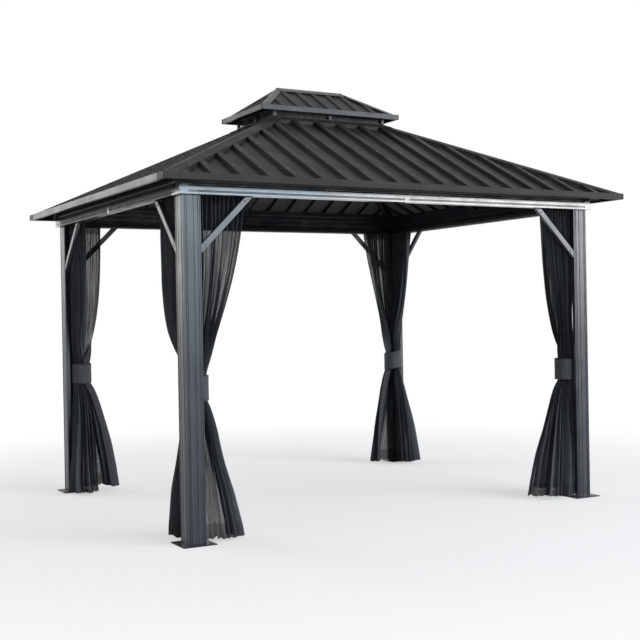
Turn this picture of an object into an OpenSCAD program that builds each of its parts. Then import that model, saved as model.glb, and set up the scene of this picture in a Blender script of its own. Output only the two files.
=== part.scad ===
/* [Frame] */
// Width over the outer faces of the posts, left to right
frame_w = 3230; // [2600:10:3800]
// Depth over the outer faces of the posts, front to back
frame_d = 2630; // [2200:10:3200]
// Height of the beams' undersides above the ground
beam_under = 2140; // [1950:10:2400]
// Width of each flange of the L-shaped posts
post_flange = 120; // [100:5:150]
// Thickness of each post flange
post_t = 28; // [24:1:34]
// Thickness of the beams, outside to inside
beam_t = 60; // [50:2:70]
// How far the beams stand outside the post faces
beam_proud = 28; // [16:2:40]
// Length of each arm of the corner pieces between the beams
corner_len = 125; // [100:5:160]

/* [Feet] */
// Side of the square foot plates
plate_side = 220; // [200:5:260]
// Thickness of the foot plates
plate_t = 6; // [4:1:10]
// How far the foot plates stand outside the post faces
plate_lip = 50; // [40:2:60]
// Distance between the anchor holes of a foot plate
anchor_spacing = 170; // [160:5:180]
// Diameter of the anchor holes
anchor_d = 12; // [9:1:14]

/* [Knee braces] */
// Distance from the post flange to the far end of a brace, along the beam
brace_leg = 360; // [250:10:500]
// Height of the brace section, square to its length
brace_h = 38; // [28:2:44]
// Thickness of the brace section
brace_t = 24; // [18:1:24]

/* [Main roof] */
// Overhang of the eaves beyond the post faces
eave_over = 195; // [150:5:260]
// Height of the sheets' underside at the eaves above the beams' undersides
eave_lift = 70; // [50:5:80]
// Rise of the main roof from the eaves to the crown
roof_rise = 609; // [450:10:750]
// Half of the crown opening's width
crown_hx = 478; // [400:5:560]
// Half of the crown opening's depth
crown_hy = 320; // [260:5:380]
// Distance from one roof rib to the next
rib_pitch = 190; // [150:5:260]
// How far the ribs of the front and back slopes lie to the right, seen from the front
rib_shift = 50; // [0:5:90]
// Height of the roof ribs
rib_h = 28; // [14:1:28]
// Width of a rib along its flat top
rib_top = 44; // [30:2:90]
// Width of each hip cap wing, measured across in plan
cap_wing = 60; // [45:1:80]

/* [Upper roof] */
// Overhang of the upper roof beyond the crown, left and right
upper_over_x = 111; // [80:1:140]
// Overhang of the upper roof beyond the crown, front and back
upper_over_y = 44; // [36:1:80]
// Height of the upper sheets' underside at the eaves above the crown of the main sheets
upper_lift = 82; // [76:1:110]
// Rise of the upper roof from its eaves to its ridge
upper_rise = 220; // [160:5:260]
// Half of the ridge's length
ridge_half = 275; // [200:5:340]
// Distance from one upper rib to the next
upper_pitch = 130; // [100:5:180]
// Height of the upper ribs
upper_rib_h = 14; // [8:1:16]

/* [Nets] */
// How far a net reaches along the front or back rail at its top, from the post's outer corner
net_reach_x = 440; // [300:2:460]
// How far a net reaches along the side rail at its top, from the post's outer corner
net_reach_y = 490; // [300:5:520]
// Thickness of a net's wings along the rails
net_t = 60; // [40:2:64]
// Radius of the gathered net at its tie
waist_r = 74; // [60:2:80]
// Height of the tie's middle above the ground
waist_z = 955; // [800:5:1200]
// Radius of the net at the hem
hem_r = 172; // [140:2:190]
// Height of the hem above the ground
hem_z = 14; // [10:1:30]
// Height of the tie straps
strap_h = 155; // [100:5:180]

/* [Hidden] */
// Sizes that follow from the ones above
sheet_t = 3;
upper_rib_top = 40;
// Width of a rib's sloping side for each millimetre of its height
rib_flank = 0.55;
// How far each slope stops short of its hips
hip_slack = 2;
px = frame_w / 2;
py = frame_d / 2;
bx = px + beam_proud;
by = py + beam_proud;
ix = bx - beam_t;
iy = by - beam_t;
ex = px + eave_over;
ey = py + eave_over;
eave_z = beam_under + eave_lift;
tan_f = roof_rise / (ey - crown_hy);
tan_s = roof_rise / (ex - crown_hx);
pitch_f = atan(tan_f);
pitch_s = atan(tan_s);
// Direction of the hips in plan, from the X axis
hip_turn = atan2(ey - crown_hy, ex - crown_hx);
crown_z = eave_z + roof_rise;
upper_z = crown_z + upper_lift;
ux = crown_hx + upper_over_x;
uy = crown_hy + upper_over_y;
utan_f = upper_rise / uy;
utan_s = upper_rise / (ux - ridge_half);
upitch_f = atan(utan_f);
upitch_s = atan(utan_s);
ridge_z = upper_z + upper_rise;
far = 4000;
seam = 1;
// Fascia section
fascia_t = 4;
fascia_h = 43;
fascia_drop = 4;
fascia_top_lip = 6;
fascia_low_lip = 26;
// The hip caps start behind the fascia's top lip, and the corner pieces reach
// just past the caps' wings
wing_clear = 2;
cap_start = fascia_top_lip + seam;
fascia_corner = (cap_wing + cap_start) / min(sin(hip_turn), cos(hip_turn)) + wing_clear;
upper_fascia_h = 37;
upper_top_lip = 8;
upper_low_lip = 20;
// Crown ring, vent and upper ring
ring_t = 40;
// How far the ring hangs below the crown, and shows above the strips around it
ring_hang = 60;
ring_show = 7;
ring_low = crown_z - ring_hang;
ring_top = crown_z + 3 * sheet_t + rib_h + ring_show;
upright_w = 22;
// How far the vent reaches past the upper eaves
vent_lap = 18;
vent_top = upper_z + vent_lap;
upper_ring_h = 30;
screen_t = 3;
// Rafters
rafter_w = 44;
rafter_h = 62;
// Curtain rails
rail_w = 26;
rail_h = 30;
rail_z = beam_under + 6;
// Distance of the nets' wings from the posts, and of their middle lines from
// the posts' outer faces
net_gap = 8;
net_line = post_t + net_gap + net_t / 2;
net_top_z = rail_z - 0.3;
waist_clear = 18;
waist_off = post_t + waist_r + waist_clear;
hem_off = post_t + hem_r + net_gap;
strap_t = 4;
// Lowest and highest point of the waist that shows beside the strap
tie_gap = 10;
tie_low = waist_z - strap_h / 2 - tie_gap;
tie_top = waist_z + strap_h / 2 + tie_gap;

// ---- Helpers ----------------------------------------------------------

// Places a front-left piece at the corner on side sx (-1 left, 1 right)
// and side sy (-1 front, 1 back)
module at_corner(sx, sy) {
    mirror([sx > 0 ? 1 : 0, 0, 0]) mirror([0, sy > 0 ? 1 : 0, 0]) children();
}

module at_all_corners() {
    for (sx = [-1, 1], sy = [-1, 1]) at_corner(sx, sy) children();
}

// Extrudes a section drawn in (y, z) along X from x0 to x1
module along_x(x0, x1) {
    translate([x0, 0, 0]) rotate([90, 0, 90]) linear_extrude(x1 - x0) children();
}

// Extrudes a section drawn in (x, z) along Y from y0 to y1
module along_y(y0, y1) {
    translate([0, y1, 0]) rotate([90, 0, 0]) linear_extrude(y1 - y0) children();
}

// Space below a hip roof's undersides, lowered by drop
module under_hip(hx, hy, z, tf, ts, drop) {
    intersection() {
        along_x(-far, far)
            polygon([[-hy, z - drop], [0, z - drop + hy * tf], [hy, z - drop], [hy, -far], [-hy, -far]]);
        along_y(-far, far)
            polygon([[-hx, z - drop], [0, z - drop + hx * ts], [hx, z - drop], [hx, -far], [-hx, -far]]);
    }
}

module under_main(drop = 0) {
    under_hip(ex, ey, eave_z, tan_f, tan_s, drop);
}

module under_upper(drop = 0) {
    under_hip(ux, uy, upper_z, utan_f, utan_s, drop);
}

// Section of a sheet folded into ribs, in one outline: across is x, the height
// above the underside is y, and only ribs that fit whole are drawn. The ribs
// are hollow, with walls as thick as the sheet.
module rib_section(half, pitch, shift, top, h, t) {
    foot = top / 2 + h * rib_flank;
    wall = t * sqrt(1 + rib_flank * rib_flank);
    in_top = top / 2 + t * rib_flank - wall;
    in_foot = in_top + h * rib_flank;
    first = ceil((foot - half - shift) / pitch);
    last = floor((half - foot - shift) / pitch);
    polygon([
        [-half, 0],
        for (i = [first : last]) let (x = shift + i * pitch)
            each [[x - in_foot, 0], [x - in_top, h], [x + in_top, h], [x + in_foot, 0]],
        [half, 0], [half, t],
        for (i = [last : -1 : first]) let (x = shift + i * pitch)
            each [[x + foot, t], [x + top / 2, t + h], [x - top / 2, t + h], [x - foot, t]],
        [-half, t]
    ]);
}

// One slope facing front: a ribbed sheet that starts at the eave line
// y = -run_y at height z and climbs at the given pitch
module slope_sheet(half, run_y, z, pitch_angle, rib_gap, shift, top, h, t) {
    c = cos(pitch_angle);
    translate([0, -run_y, z]) rotate([90 + pitch_angle, 0, 0]) mirror([0, 0, 1])
        linear_extrude(far) rib_section(half, rib_gap, shift, top, h * c, t * c);
}

// Plan shape of a slope facing front, pulled back along its hips
module slope_plan(eave_half, crown_half, y_eave, y_crown, edge, slack) {
    k = (eave_half - crown_half) / (y_eave - y_crown);
    polygon([
        [-(eave_half - edge * k - slack), -(y_eave - edge)],
        [eave_half - edge * k - slack, -(y_eave - edge)],
        [crown_half - slack, -y_crown],
        [-(crown_half - slack), -y_crown]
    ]);
}

// ---- Posts and feet ---------------------------------------------------

module post_section() {
    groove_w = 5;
    groove_depth = 3;
    groove_places = [0.10, 0.19, 0.56, 0.80, 0.90];
    difference() {
        union() {
            square([post_flange, post_t]);
            square([post_t, post_flange]);
        }
        for (f = groove_places) {
            translate([post_flange * f, -1]) square([groove_w, groove_depth + 1]);
            translate([-1, post_flange * f]) square([groove_depth + 1, groove_w]);
        }
    }
}

module post(sx, sy) {
    color([0.20, 0.22, 0.24]) at_corner(sx, sy)
        translate([-px, -py, plate_t]) linear_extrude(beam_under - plate_t) post_section();
}

module foot_plate(sx, sy) {
    inset = (plate_side - anchor_spacing) / 2;
    color([0.22, 0.23, 0.24]) at_corner(sx, sy)
        translate([-px - plate_lip, -py - plate_lip, 0]) difference() {
            cube([plate_side, plate_side, plate_t]);
            for (i = [0, 1], j = [0, 1])
                translate([inset + i * anchor_spacing, inset + j * anchor_spacing, -1])
                    cylinder(h = plate_t + 2, d = anchor_d, $fn = 48);
        }
}

// ---- Beams ------------------------------------------------------------

// Section of a beam: 0 is its outer face, the stepped ribs run along it, three
// shallow grooves run along its inner face, and the sheets' undersides cut its top
module beam_section() {
    step = 4;
    recess = 9;
    groove = 3;
    groove_w = 9;
    toe = 10;
    z = beam_under;
    top = crown_z;
    polygon([
        [0, z], [0, z + 14], [step, z + 17], [step, z + 21], [0, z + 24], [0, z + 50],
        [recess, z + 56], [recess, z + 76], [step, z + 80], [step, z + 100],
        [recess, z + 104], [recess, z + 126], [step, z + 130], [step, top],
        [beam_t, top],
        for (g = [z + 138, z + 98, z + 58]) each [
            [beam_t, g + groove_w], [beam_t - groove, g + groove_w], [beam_t - groove, g], [beam_t, g]
        ],
        [beam_t, z + 18], [beam_t - toe, z + 8], [beam_t - toe, z]
    ]);
}

module beam_along_x(x0, x1) {
    along_x(x0, x1) translate([-by, 0]) beam_section();
}

module beam_along_y(y0, y1) {
    along_y(y0, y1) translate([-bx, 0]) beam_section();
}

module beam_corner(sx, sy) {
    color([0.21, 0.23, 0.25]) at_corner(sx, sy) intersection() {
        union() {
            beam_along_x(-bx, -bx + corner_len);
            beam_along_y(-by, -by + corner_len);
        }
        translate([-bx, -by, 0]) cube([corner_len, corner_len, far]);
        under_main();
    }
}

module beam_long(side) {
    color([0.21, 0.23, 0.25]) mirror([0, side, 0]) intersection() {
        union() {
            beam_along_x(-bx + corner_len + seam, -seam / 2);
            beam_along_x(seam / 2, bx - corner_len - seam);
        }
        under_main();
    }
}

module beam_short(side) {
    color([0.21, 0.23, 0.25]) mirror([side, 0, 0]) intersection() {
        union() {
            beam_along_y(-by + corner_len + seam, -seam / 2);
            beam_along_y(seam / 2, by - corner_len - seam);
        }
        under_main();
    }
}

// ---- Knee braces and curtain rails ------------------------------------

// Outline of a brace: u runs from the post flange, and v down from the beam
module brace_outline() {
    leg = brace_leg;
    wide = brace_h * sqrt(2);
    polygon([
        [0, beam_under - leg], [leg, beam_under], [leg - wide, beam_under],
        [0, beam_under - leg + wide]
    ]);
}

module braces_long(side) {
    y0 = -py + (post_t - brace_t) / 2;
    color([0.27, 0.29, 0.31]) mirror([0, side, 0]) for (s = [0, 1]) mirror([s, 0, 0])
        along_y(y0, y0 + brace_t) translate([-px + post_flange, 0]) brace_outline();
}

module braces_short(side) {
    x0 = -px + (post_t - brace_t) / 2;
    color([0.27, 0.29, 0.31]) mirror([side, 0, 0]) for (s = [0, 1]) mirror([0, s, 0])
        along_x(x0, x0 + brace_t) translate([-py + post_flange, 0]) brace_outline();
}

module curtain_rails() {
    gap = 40;
    color([0.12, 0.12, 0.13]) {
        for (s = [0, 1]) mirror([0, s, 0])
            translate([-ix + gap, -iy, rail_z]) cube([2 * (ix - gap), rail_w, rail_h]);
        for (s = [0, 1]) mirror([s, 0, 0])
            translate([-ix, -iy + gap, rail_z]) cube([rail_w, 2 * (iy - gap), rail_h]);
    }
}

// ---- Roof frame -------------------------------------------------------

module crown_ring() {
    color([0.13, 0.13, 0.14]) {
        for (s = [0, 1]) mirror([0, s, 0])
            translate([-crown_hx, -crown_hy, ring_low]) cube([2 * crown_hx, ring_t, ring_top - ring_low]);
        for (s = [0, 1]) mirror([s, 0, 0])
            translate([-crown_hx, -crown_hy + ring_t + seam / 2, ring_low])
                cube([ring_t, 2 * (crown_hy - ring_t) - seam, ring_top - ring_low]);
    }
}

// Band of the given depth just below the sheets
module rafter_band(depth) {
    difference() {
        under_main();
        under_main(depth);
    }
}

// Room between the beams' inner faces, outside the crown ring
module rafter_room() {
    difference() {
        translate([-ix, -iy, 0]) cube([2 * ix, 2 * iy, far]);
        translate([-crown_hx, -crown_hy, 0]) cube([2 * crown_hx, 2 * crown_hy, far]);
    }
}

module hip_rafters() {
    color([0.14, 0.14, 0.15]) at_all_corners() intersection() {
        translate([-ex, -ey, 0]) rotate([0, 0, hip_turn])
            translate([0, -rafter_w / 2, 0]) cube([far, rafter_w, far]);
        translate([-ex, -ey, 0]) cube([ex - seam, ey - seam, far]);
        rafter_band(rafter_h);
        rafter_room();
    }
}

module middle_rafters() {
    color([0.14, 0.14, 0.15]) intersection() {
        union() {
            for (s = [0, 1]) {
                mirror([0, s, 0]) translate([-rafter_w / 2, -ey, 0]) cube([rafter_w, ey - seam, far]);
                mirror([s, 0, 0]) translate([-ex, -rafter_w / 2, 0]) cube([ex - seam, rafter_w, far]);
            }
        }
        rafter_band(rafter_h);
        rafter_room();
    }
}

// ---- Main roof --------------------------------------------------------

module roof_long(side) {
    color([0.17, 0.15, 0.14]) mirror([0, side, 0]) intersection() {
        slope_sheet(ex, ey, eave_z, pitch_f, rib_pitch, rib_shift, rib_top, rib_h, sheet_t);
        linear_extrude(far) slope_plan(ex, crown_hx, ey, crown_hy, fascia_t, hip_slack);
    }
}

module roof_short(side) {
    color([0.17, 0.15, 0.14]) mirror([side, 0, 0]) intersection() {
        rotate([0, 0, -90])
            slope_sheet(ey, ex, eave_z, pitch_s, rib_pitch, 0, rib_top, rib_h, sheet_t);
        linear_extrude(far) rotate(-90) slope_plan(ey, crown_hy, ex, crown_hx, fascia_t, hip_slack);
    }
}

// Layer that lies on the ribs of a hip roof, thick wide, in height z
module cap_layer(drop, thick) {
    difference() {
        under_main(-drop - thick);
        under_main(-drop);
    }
}

module hip_caps() {
    color([0.24, 0.24, 0.24]) at_all_corners() intersection() {
        translate([-ex, -ey, 0]) rotate([0, 0, hip_turn])
            translate([0, -cap_wing, 0]) cube([far, 2 * cap_wing, far]);
        difference() {
            translate([-ex + cap_start, -ey + cap_start, 0]) cube([ex, ey, far]);
            translate([-crown_hx, -crown_hy, 0]) cube([ex, ey, far]);
        }
        translate([-ex, -ey, 0]) cube([ex - seam, ey - seam, far]);
        cap_layer(sheet_t + rib_h, sheet_t);
    }
}

// Fascia section for one side: 0 is its outer face, height z up
module fascia_section(z, h, t, top_lip, low_lip, drop) {
    translate([0, z - drop]) {
        square([t, h]);
        square([low_lip, t]);
        translate([0, h - t]) square([top_lip, t]);
    }
}

module main_fascia_section() {
    fascia_section(eave_z, fascia_h, fascia_t, fascia_top_lip, fascia_low_lip, fascia_drop);
}

module fascia_long(side) {
    color([0.20, 0.18, 0.17]) mirror([0, side, 0]) {
        along_x(-ex + fascia_corner + seam, -seam / 2) translate([-ey, 0]) main_fascia_section();
        along_x(seam / 2, ex - fascia_corner - seam) translate([-ey, 0]) main_fascia_section();
    }
}

module fascia_short(side) {
    color([0.34, 0.36, 0.36]) mirror([side, 0, 0]) {
        along_y(-ey + fascia_corner + seam, -seam / 2) translate([-ex, 0]) main_fascia_section();
        along_y(seam / 2, ey - fascia_corner - seam) translate([-ex, 0]) main_fascia_section();
    }
}

module fascia_corners() {
    color([0.17, 0.16, 0.16]) at_all_corners() {
        along_x(-ex, -ex + fascia_corner) translate([-ey, 0]) main_fascia_section();
        along_y(-ey, -ey + fascia_corner) translate([-ex, 0]) main_fascia_section();
    }
}

// ---- Crown and vent ---------------------------------------------------

// Strips that cover the sheets' upper ends around the crown
module crown_flashing() {
    strip = 46;
    color([0.22, 0.22, 0.22]) intersection() {
        union() {
            for (s = [0, 1]) mirror([0, s, 0]) translate([-crown_hx - strip, -crown_hy - strip, 0])
                cube([2 * (crown_hx + strip), strip, far]);
            for (s = [0, 1]) mirror([s, 0, 0]) translate([-crown_hx - strip, -crown_hy + seam / 2, 0])
                cube([strip, 2 * crown_hy - seam, far]);
        }
        cap_layer(sheet_t * 2 + rib_h, sheet_t);
    }
}

module vent_uprights() {
    h = vent_top - ring_top;
    color([0.30, 0.31, 0.32]) {
        at_all_corners() translate([-crown_hx, -crown_hy, ring_top]) cube([upright_w, upright_w, h]);
        for (s = [0, 1]) {
            mirror([0, s, 0]) translate([-upright_w / 2, -crown_hy, ring_top])
                cube([upright_w, upright_w, h]);
            mirror([s, 0, 0]) translate([-crown_hx, -upright_w / 2, ring_top])
                cube([upright_w, upright_w, h]);
        }
    }
}

module vent_screens() {
    h = vent_top - ring_top;
    off = upright_w;
    end_gap = 6;
    color([0.08, 0.08, 0.08]) {
        for (s = [0, 1]) mirror([0, s, 0]) translate([-crown_hx + off + end_gap, -crown_hy + off, ring_top])
            cube([2 * (crown_hx - off - end_gap), screen_t, h]);
        for (s = [0, 1]) mirror([s, 0, 0]) translate([-crown_hx + off, -crown_hy + off + end_gap, ring_top])
            cube([screen_t, 2 * (crown_hy - off - end_gap), h]);
    }
}

module upper_ring() {
    color([0.13, 0.13, 0.14]) intersection() {
        union() {
            for (s = [0, 1]) mirror([0, s, 0]) translate([-crown_hx, -crown_hy, vent_top])
                cube([2 * crown_hx, ring_t, far]);
            for (s = [0, 1]) mirror([s, 0, 0]) translate([-crown_hx, -crown_hy + ring_t + seam / 2, vent_top])
                cube([ring_t, 2 * (crown_hy - ring_t) - seam, far]);
        }
        under_upper();
        translate([-far, -far, 0]) cube([2 * far, 2 * far, vent_top + upper_ring_h]);
    }
}

// ---- Upper roof -------------------------------------------------------

module upper_long(side) {
    color([0.25, 0.26, 0.27]) mirror([0, side, 0]) intersection() {
        slope_sheet(ux, uy, upper_z, upitch_f, upper_pitch, 0, upper_rib_top, upper_rib_h, sheet_t);
        linear_extrude(far) slope_plan(ux, ridge_half, uy, seam, fascia_t, hip_slack);
    }
}

module upper_short(side) {
    color([0.25, 0.26, 0.27]) mirror([side, 0, 0]) intersection() {
        rotate([0, 0, -90])
            slope_sheet(uy, ux, upper_z, upitch_s, upper_pitch, 0, upper_rib_top, upper_rib_h, sheet_t);
        linear_extrude(far) rotate(-90)
            slope_plan(uy, 2 * hip_slack, ux, ridge_half + 2 * hip_slack, fascia_t, hip_slack);
    }
}

module upper_layer(drop, thick) {
    difference() {
        under_upper(-drop - thick);
        under_upper(-drop);
    }
}

module upper_hip_caps() {
    turn = atan2(uy, ux - ridge_half);
    wing = 36;
    top_gap = 20;
    color([0.36, 0.37, 0.38]) at_all_corners() intersection() {
        translate([-ux, -uy, 0]) rotate([0, 0, turn])
            translate([0, -wing, 0]) cube([far, 2 * wing, far]);
        translate([-ux + fascia_t, -uy + fascia_t, 0])
            cube([ux - ridge_half - fascia_t - top_gap, uy - fascia_t - seam, far]);
        upper_layer(sheet_t + upper_rib_h, sheet_t);
    }
}

// A folded cap along the ridge, resting on the ribs of the two long slopes
module upper_ridge_cap() {
    wing = 52;
    end_lap = 14;
    reach = ridge_half + end_lap;
    low = sheet_t + upper_rib_h;
    color([0.36, 0.37, 0.38]) intersection() {
        translate([-reach, -wing, 0]) cube([2 * reach, 2 * wing, far]);
        along_x(-far, far) polygon([
            [-uy, upper_z + low], [0, ridge_z + low], [uy, upper_z + low],
            [uy, upper_z + low + sheet_t], [0, ridge_z + low + sheet_t], [-uy, upper_z + low + sheet_t]
        ]);
    }
}

module upper_fascia_section() {
    fascia_section(upper_z, upper_fascia_h, fascia_t, upper_top_lip, upper_low_lip, fascia_drop);
}

module upper_fascia() {
    color([0.33, 0.35, 0.36]) {
        for (s = [0, 1], e = [0, 1]) mirror([0, s, 0]) mirror([e, 0, 0])
            along_x(seam / 2, ux) translate([-uy, 0]) upper_fascia_section();
        for (s = [0, 1]) mirror([s, 0, 0])
            along_y(-uy + upper_low_lip + seam, uy - upper_low_lip - seam)
                translate([-ux, 0]) upper_fascia_section();
    }
}

// ---- Nets and ties ----------------------------------------------------

// Outline of a net's wing: 0 is the post's outer face, and reach its top corner
module wing_outline(reach) {
    belly_z = waist_z + 300;
    belly_share = 0.7;
    start = post_t + net_gap;
    lean = 4;
    polygon([
        [start, net_top_z], [reach, net_top_z], [reach * belly_share, belly_z],
        [waist_off + waist_r, tie_top], [waist_off - waist_r, tie_top], [start + lean, belly_z]
    ]);
}

// Outline of a net's skirt, which opens from the tie down to the hem
module skirt_outline() {
    polygon([
        [waist_off - waist_r, tie_low], [waist_off + waist_r, tie_low],
        [hem_off + hem_r, hem_z], [hem_off - hem_r, hem_z]
    ]);
}

// A gathered net: two flared wings along the rails, drawn in to the tie,
// and a skirt that opens below it
module net(sx, sy) {
    wing_y = -py + net_line;
    wing_x = -px + net_line;
    overlap = 40;
    color([0.09, 0.10, 0.11]) at_corner(sx, sy) {
        along_y(wing_y - net_t / 2, wing_y + net_t / 2) translate([-px, 0]) wing_outline(net_reach_x);
        along_x(wing_x - net_t / 2, wing_x + net_t / 2) translate([-py, 0]) wing_outline(net_reach_y);
        translate([-px + waist_off, -py + waist_off, tie_low])
            cylinder(h = tie_top + overlap - tie_low, r = waist_r, $fn = 48);
        intersection() {
            along_y(-far, far) translate([-px, 0]) skirt_outline();
            along_x(-far, far) translate([-py, 0]) skirt_outline();
        }
    }
}

module tie_straps() {
    r0 = waist_r + 0.4;
    color([0.30, 0.31, 0.32]) at_all_corners()
        translate([-px + waist_off, -py + waist_off, waist_z - strap_h / 2]) difference() {
            cylinder(h = strap_h, r = r0 + strap_t, $fn = 64);
            translate([0, 0, -1]) cylinder(h = strap_h + 2, r = r0, $fn = 64);
        }
}

// ---- Assembly ---------------------------------------------------------

post(-1, -1);  // post_front_left
post(1, -1);  // post_front_right
post(-1, 1);  // post_back_left
post(1, 1);  // post_back_right
foot_plate(-1, -1);  // foot_plate_front_left
foot_plate(1, -1);  // foot_plate_front_right
foot_plate(-1, 1);  // foot_plate_back_left
foot_plate(1, 1);  // foot_plate_back_right
beam_corner(-1, -1);  // beam_corner_front_left
beam_corner(1, -1);  // beam_corner_front_right
beam_corner(-1, 1);  // beam_corner_back_left
beam_corner(1, 1);  // beam_corner_back_right
beam_long(0);  // beam_front
beam_long(1);  // beam_back
beam_short(0);  // beam_left
beam_short(1);  // beam_right
braces_long(0);  // knee_braces_front
braces_long(1);  // knee_braces_back
braces_short(0);  // knee_braces_left
braces_short(1);  // knee_braces_right
curtain_rails();
hip_rafters();
middle_rafters();
crown_ring();
roof_long(0);  // roof_front
roof_long(1);  // roof_back
roof_short(0);  // roof_left
roof_short(1);  // roof_right
hip_caps();
fascia_long(0);  // fascia_front
fascia_long(1);  // fascia_back
fascia_short(0);  // fascia_left
fascia_short(1);  // fascia_right
fascia_corners();
crown_flashing();
vent_uprights();
vent_screens();
upper_ring();
upper_long(0);  // upper_roof_front
upper_long(1);  // upper_roof_back
upper_short(0);  // upper_roof_left
upper_short(1);  // upper_roof_right
upper_hip_caps();
upper_ridge_cap();
upper_fascia();
net(-1, -1);  // net_front_left
net(1, -1);  // net_front_right
net(-1, 1);  // net_back_left
net(1, 1);  // net_back_right
tie_straps();
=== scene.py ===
"""Looks of a metal garden gazebo: painted metal, ribbed roofs, tied-back nets and their fixings."""

import logging
import math
from dataclasses import dataclass, field, replace
from enum import Enum
from typing import Iterable, Sequence

import bmesh
import bpy
import numpy as np
from mathutils import Matrix, Vector


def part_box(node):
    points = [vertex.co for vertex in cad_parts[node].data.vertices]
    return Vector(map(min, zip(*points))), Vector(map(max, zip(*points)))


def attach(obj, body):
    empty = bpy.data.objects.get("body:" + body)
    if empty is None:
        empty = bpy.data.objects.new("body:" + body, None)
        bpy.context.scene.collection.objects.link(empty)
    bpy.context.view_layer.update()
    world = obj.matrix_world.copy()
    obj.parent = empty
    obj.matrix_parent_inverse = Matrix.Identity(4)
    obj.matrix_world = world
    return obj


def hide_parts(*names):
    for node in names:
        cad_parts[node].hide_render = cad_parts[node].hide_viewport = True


logging.basicConfig(level=logging.INFO, format="%(levelname)s %(message)s")
LOG = logging.getLogger("gazebo")

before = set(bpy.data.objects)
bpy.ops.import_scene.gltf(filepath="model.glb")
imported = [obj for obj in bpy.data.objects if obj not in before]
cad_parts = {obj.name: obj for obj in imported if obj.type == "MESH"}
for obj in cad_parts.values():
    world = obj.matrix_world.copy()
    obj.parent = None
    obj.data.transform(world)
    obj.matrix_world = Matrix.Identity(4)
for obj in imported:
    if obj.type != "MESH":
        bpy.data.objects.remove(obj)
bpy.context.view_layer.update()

Rgb = tuple[float, float, float]
Span = tuple[float, float]
Plan = tuple[np.ndarray, np.ndarray]
Points = Iterable[Sequence[float]]
Faces = Iterable[Sequence[int]]


# ---- Choices ----------------------------------------------------------------


class Side(Enum):
    """A side of the gazebo, with the direction that it faces in plan."""

    FRONT = (0, -1)
    BACK = (0, 1)
    LEFT = (-1, 0)
    RIGHT = (1, 0)

    @property
    def word(self) -> str:
        """The side's name as the nodes use it."""
        return self.name.lower()

    @property
    def is_long(self) -> bool:
        """Whether the side runs along X."""
        return self.value[0] == 0

    @property
    def sign(self) -> int:
        """The sign of the direction that the side faces."""
        return sum(self.value)

    @property
    def out(self) -> Vector:
        """The level direction that the side faces."""
        return Vector((*self.value, 0.0))

    @property
    def axes(self) -> tuple[int, int]:
        """The number of the axis along the side, and of the axis across it."""
        return (0, 1) if self.is_long else (1, 0)


class Corner(Enum):
    """A corner of the gazebo, with its signs in X and Y."""

    FRONT_LEFT = (-1, -1)
    FRONT_RIGHT = (1, -1)
    BACK_LEFT = (-1, 1)
    BACK_RIGHT = (1, 1)

    @property
    def word(self) -> str:
        """The corner's name as the nodes use it."""
        return self.name.lower()

    @property
    def post_corner(self) -> Span:
        """The outer corner of the corner's post in plan."""
        low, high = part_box(f"post_{self.word}")
        sign_x, sign_y = self.value
        return high.x if sign_x > 0 else low.x, high.y if sign_y > 0 else low.y


class Slot(Enum):
    """The record's material slots, which the fixings and roofs keep."""

    FRAME = "frame"
    BRACE = "brace"
    INNER_FRAME = "inner_frame"
    ROOF_TRIM = "roof_trim"
    UPPER_TRIM = "upper_trim"
    VENT_MESH = "vent_mesh"
    NET = "net"
    STRAP = "strap"


# ---- Meshes -----------------------------------------------------------------


@dataclass
class MeshParts:
    """Vertices and faces that are gathered before one mesh is made of them."""

    points: list[Sequence[float]] = field(default_factory=list)
    faces: list[tuple[int, ...]] = field(default_factory=list)

    def add(self, points: Points, faces: Faces, place: Matrix = Matrix.Identity(4)) -> None:
        """Adds a copy of a small shape.

        Args:
            points: The shape's corners in its own frame.
            faces: Its faces, as numbers of corners.
            place: Where the copy goes.
        """
        start = len(self.points)
        self.points.extend(tuple(place @ Vector(p)) for p in points)
        self.faces.extend(tuple(start + i for i in f) for f in faces)

    def add_box(self, low: Sequence[float], high: Sequence[float]) -> None:
        """Adds a box between its lowest and its highest corner."""
        corners = [(x, y, z) for z in (low[2], high[2]) for y in (low[1], high[1]) for x in (low[0], high[0])]
        faces = [(0, 2, 3, 1), (4, 5, 7, 6), (0, 1, 5, 4), (2, 6, 7, 3), (0, 4, 6, 2), (1, 3, 7, 5)]
        self.add(corners, faces)

    def to_object(self, name: str, smooth: bool = False) -> bpy.types.Object:
        """Makes the mesh object.

        Args:
            name: The object's name.
            smooth: Whether its faces are shaded smooth.

        Returns:
            The new object, linked to the scene.
        """
        mesh = bpy.data.meshes.new(name)
        mesh.from_pydata(self.points, [], self.faces)
        mesh.update()
        if smooth:
            mesh.shade_smooth()
        obj = bpy.data.objects.new(name, mesh)
        bpy.context.scene.collection.objects.link(obj)
        return obj


def stacked_rings(rings: Sequence[Span], count: int) -> tuple[list, list]:
    """A turned shape with a closed bottom and top.

    Args:
        rings: Radius and height of each ring, from the bottom up.
        count: Points on each ring.

    Returns:
        Its points and its faces.
    """
    angles = [2 * math.pi * i / count for i in range(count)]
    points = [(wide * math.cos(a), wide * math.sin(a), height) for wide, height in rings for a in angles]
    faces = [tuple(reversed(range(count)))]
    for level in range(len(rings) - 1):
        low, high = level * count, (level + 1) * count
        faces += [(low + i, low + (i + 1) % count, high + (i + 1) % count, high + i) for i in range(count)]
    faces.append(tuple(range((len(rings) - 1) * count, len(rings) * count)))
    return points, faces


def aimed(place: Sequence[float], normal: Sequence[float]) -> Matrix:
    """A matrix that stands a shape's Z axis along a normal at a point."""
    turn = Vector(normal).normalized().to_track_quat("Z", "Y").to_matrix().to_4x4()
    return Matrix.Translation(Vector(place)) @ turn


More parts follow.
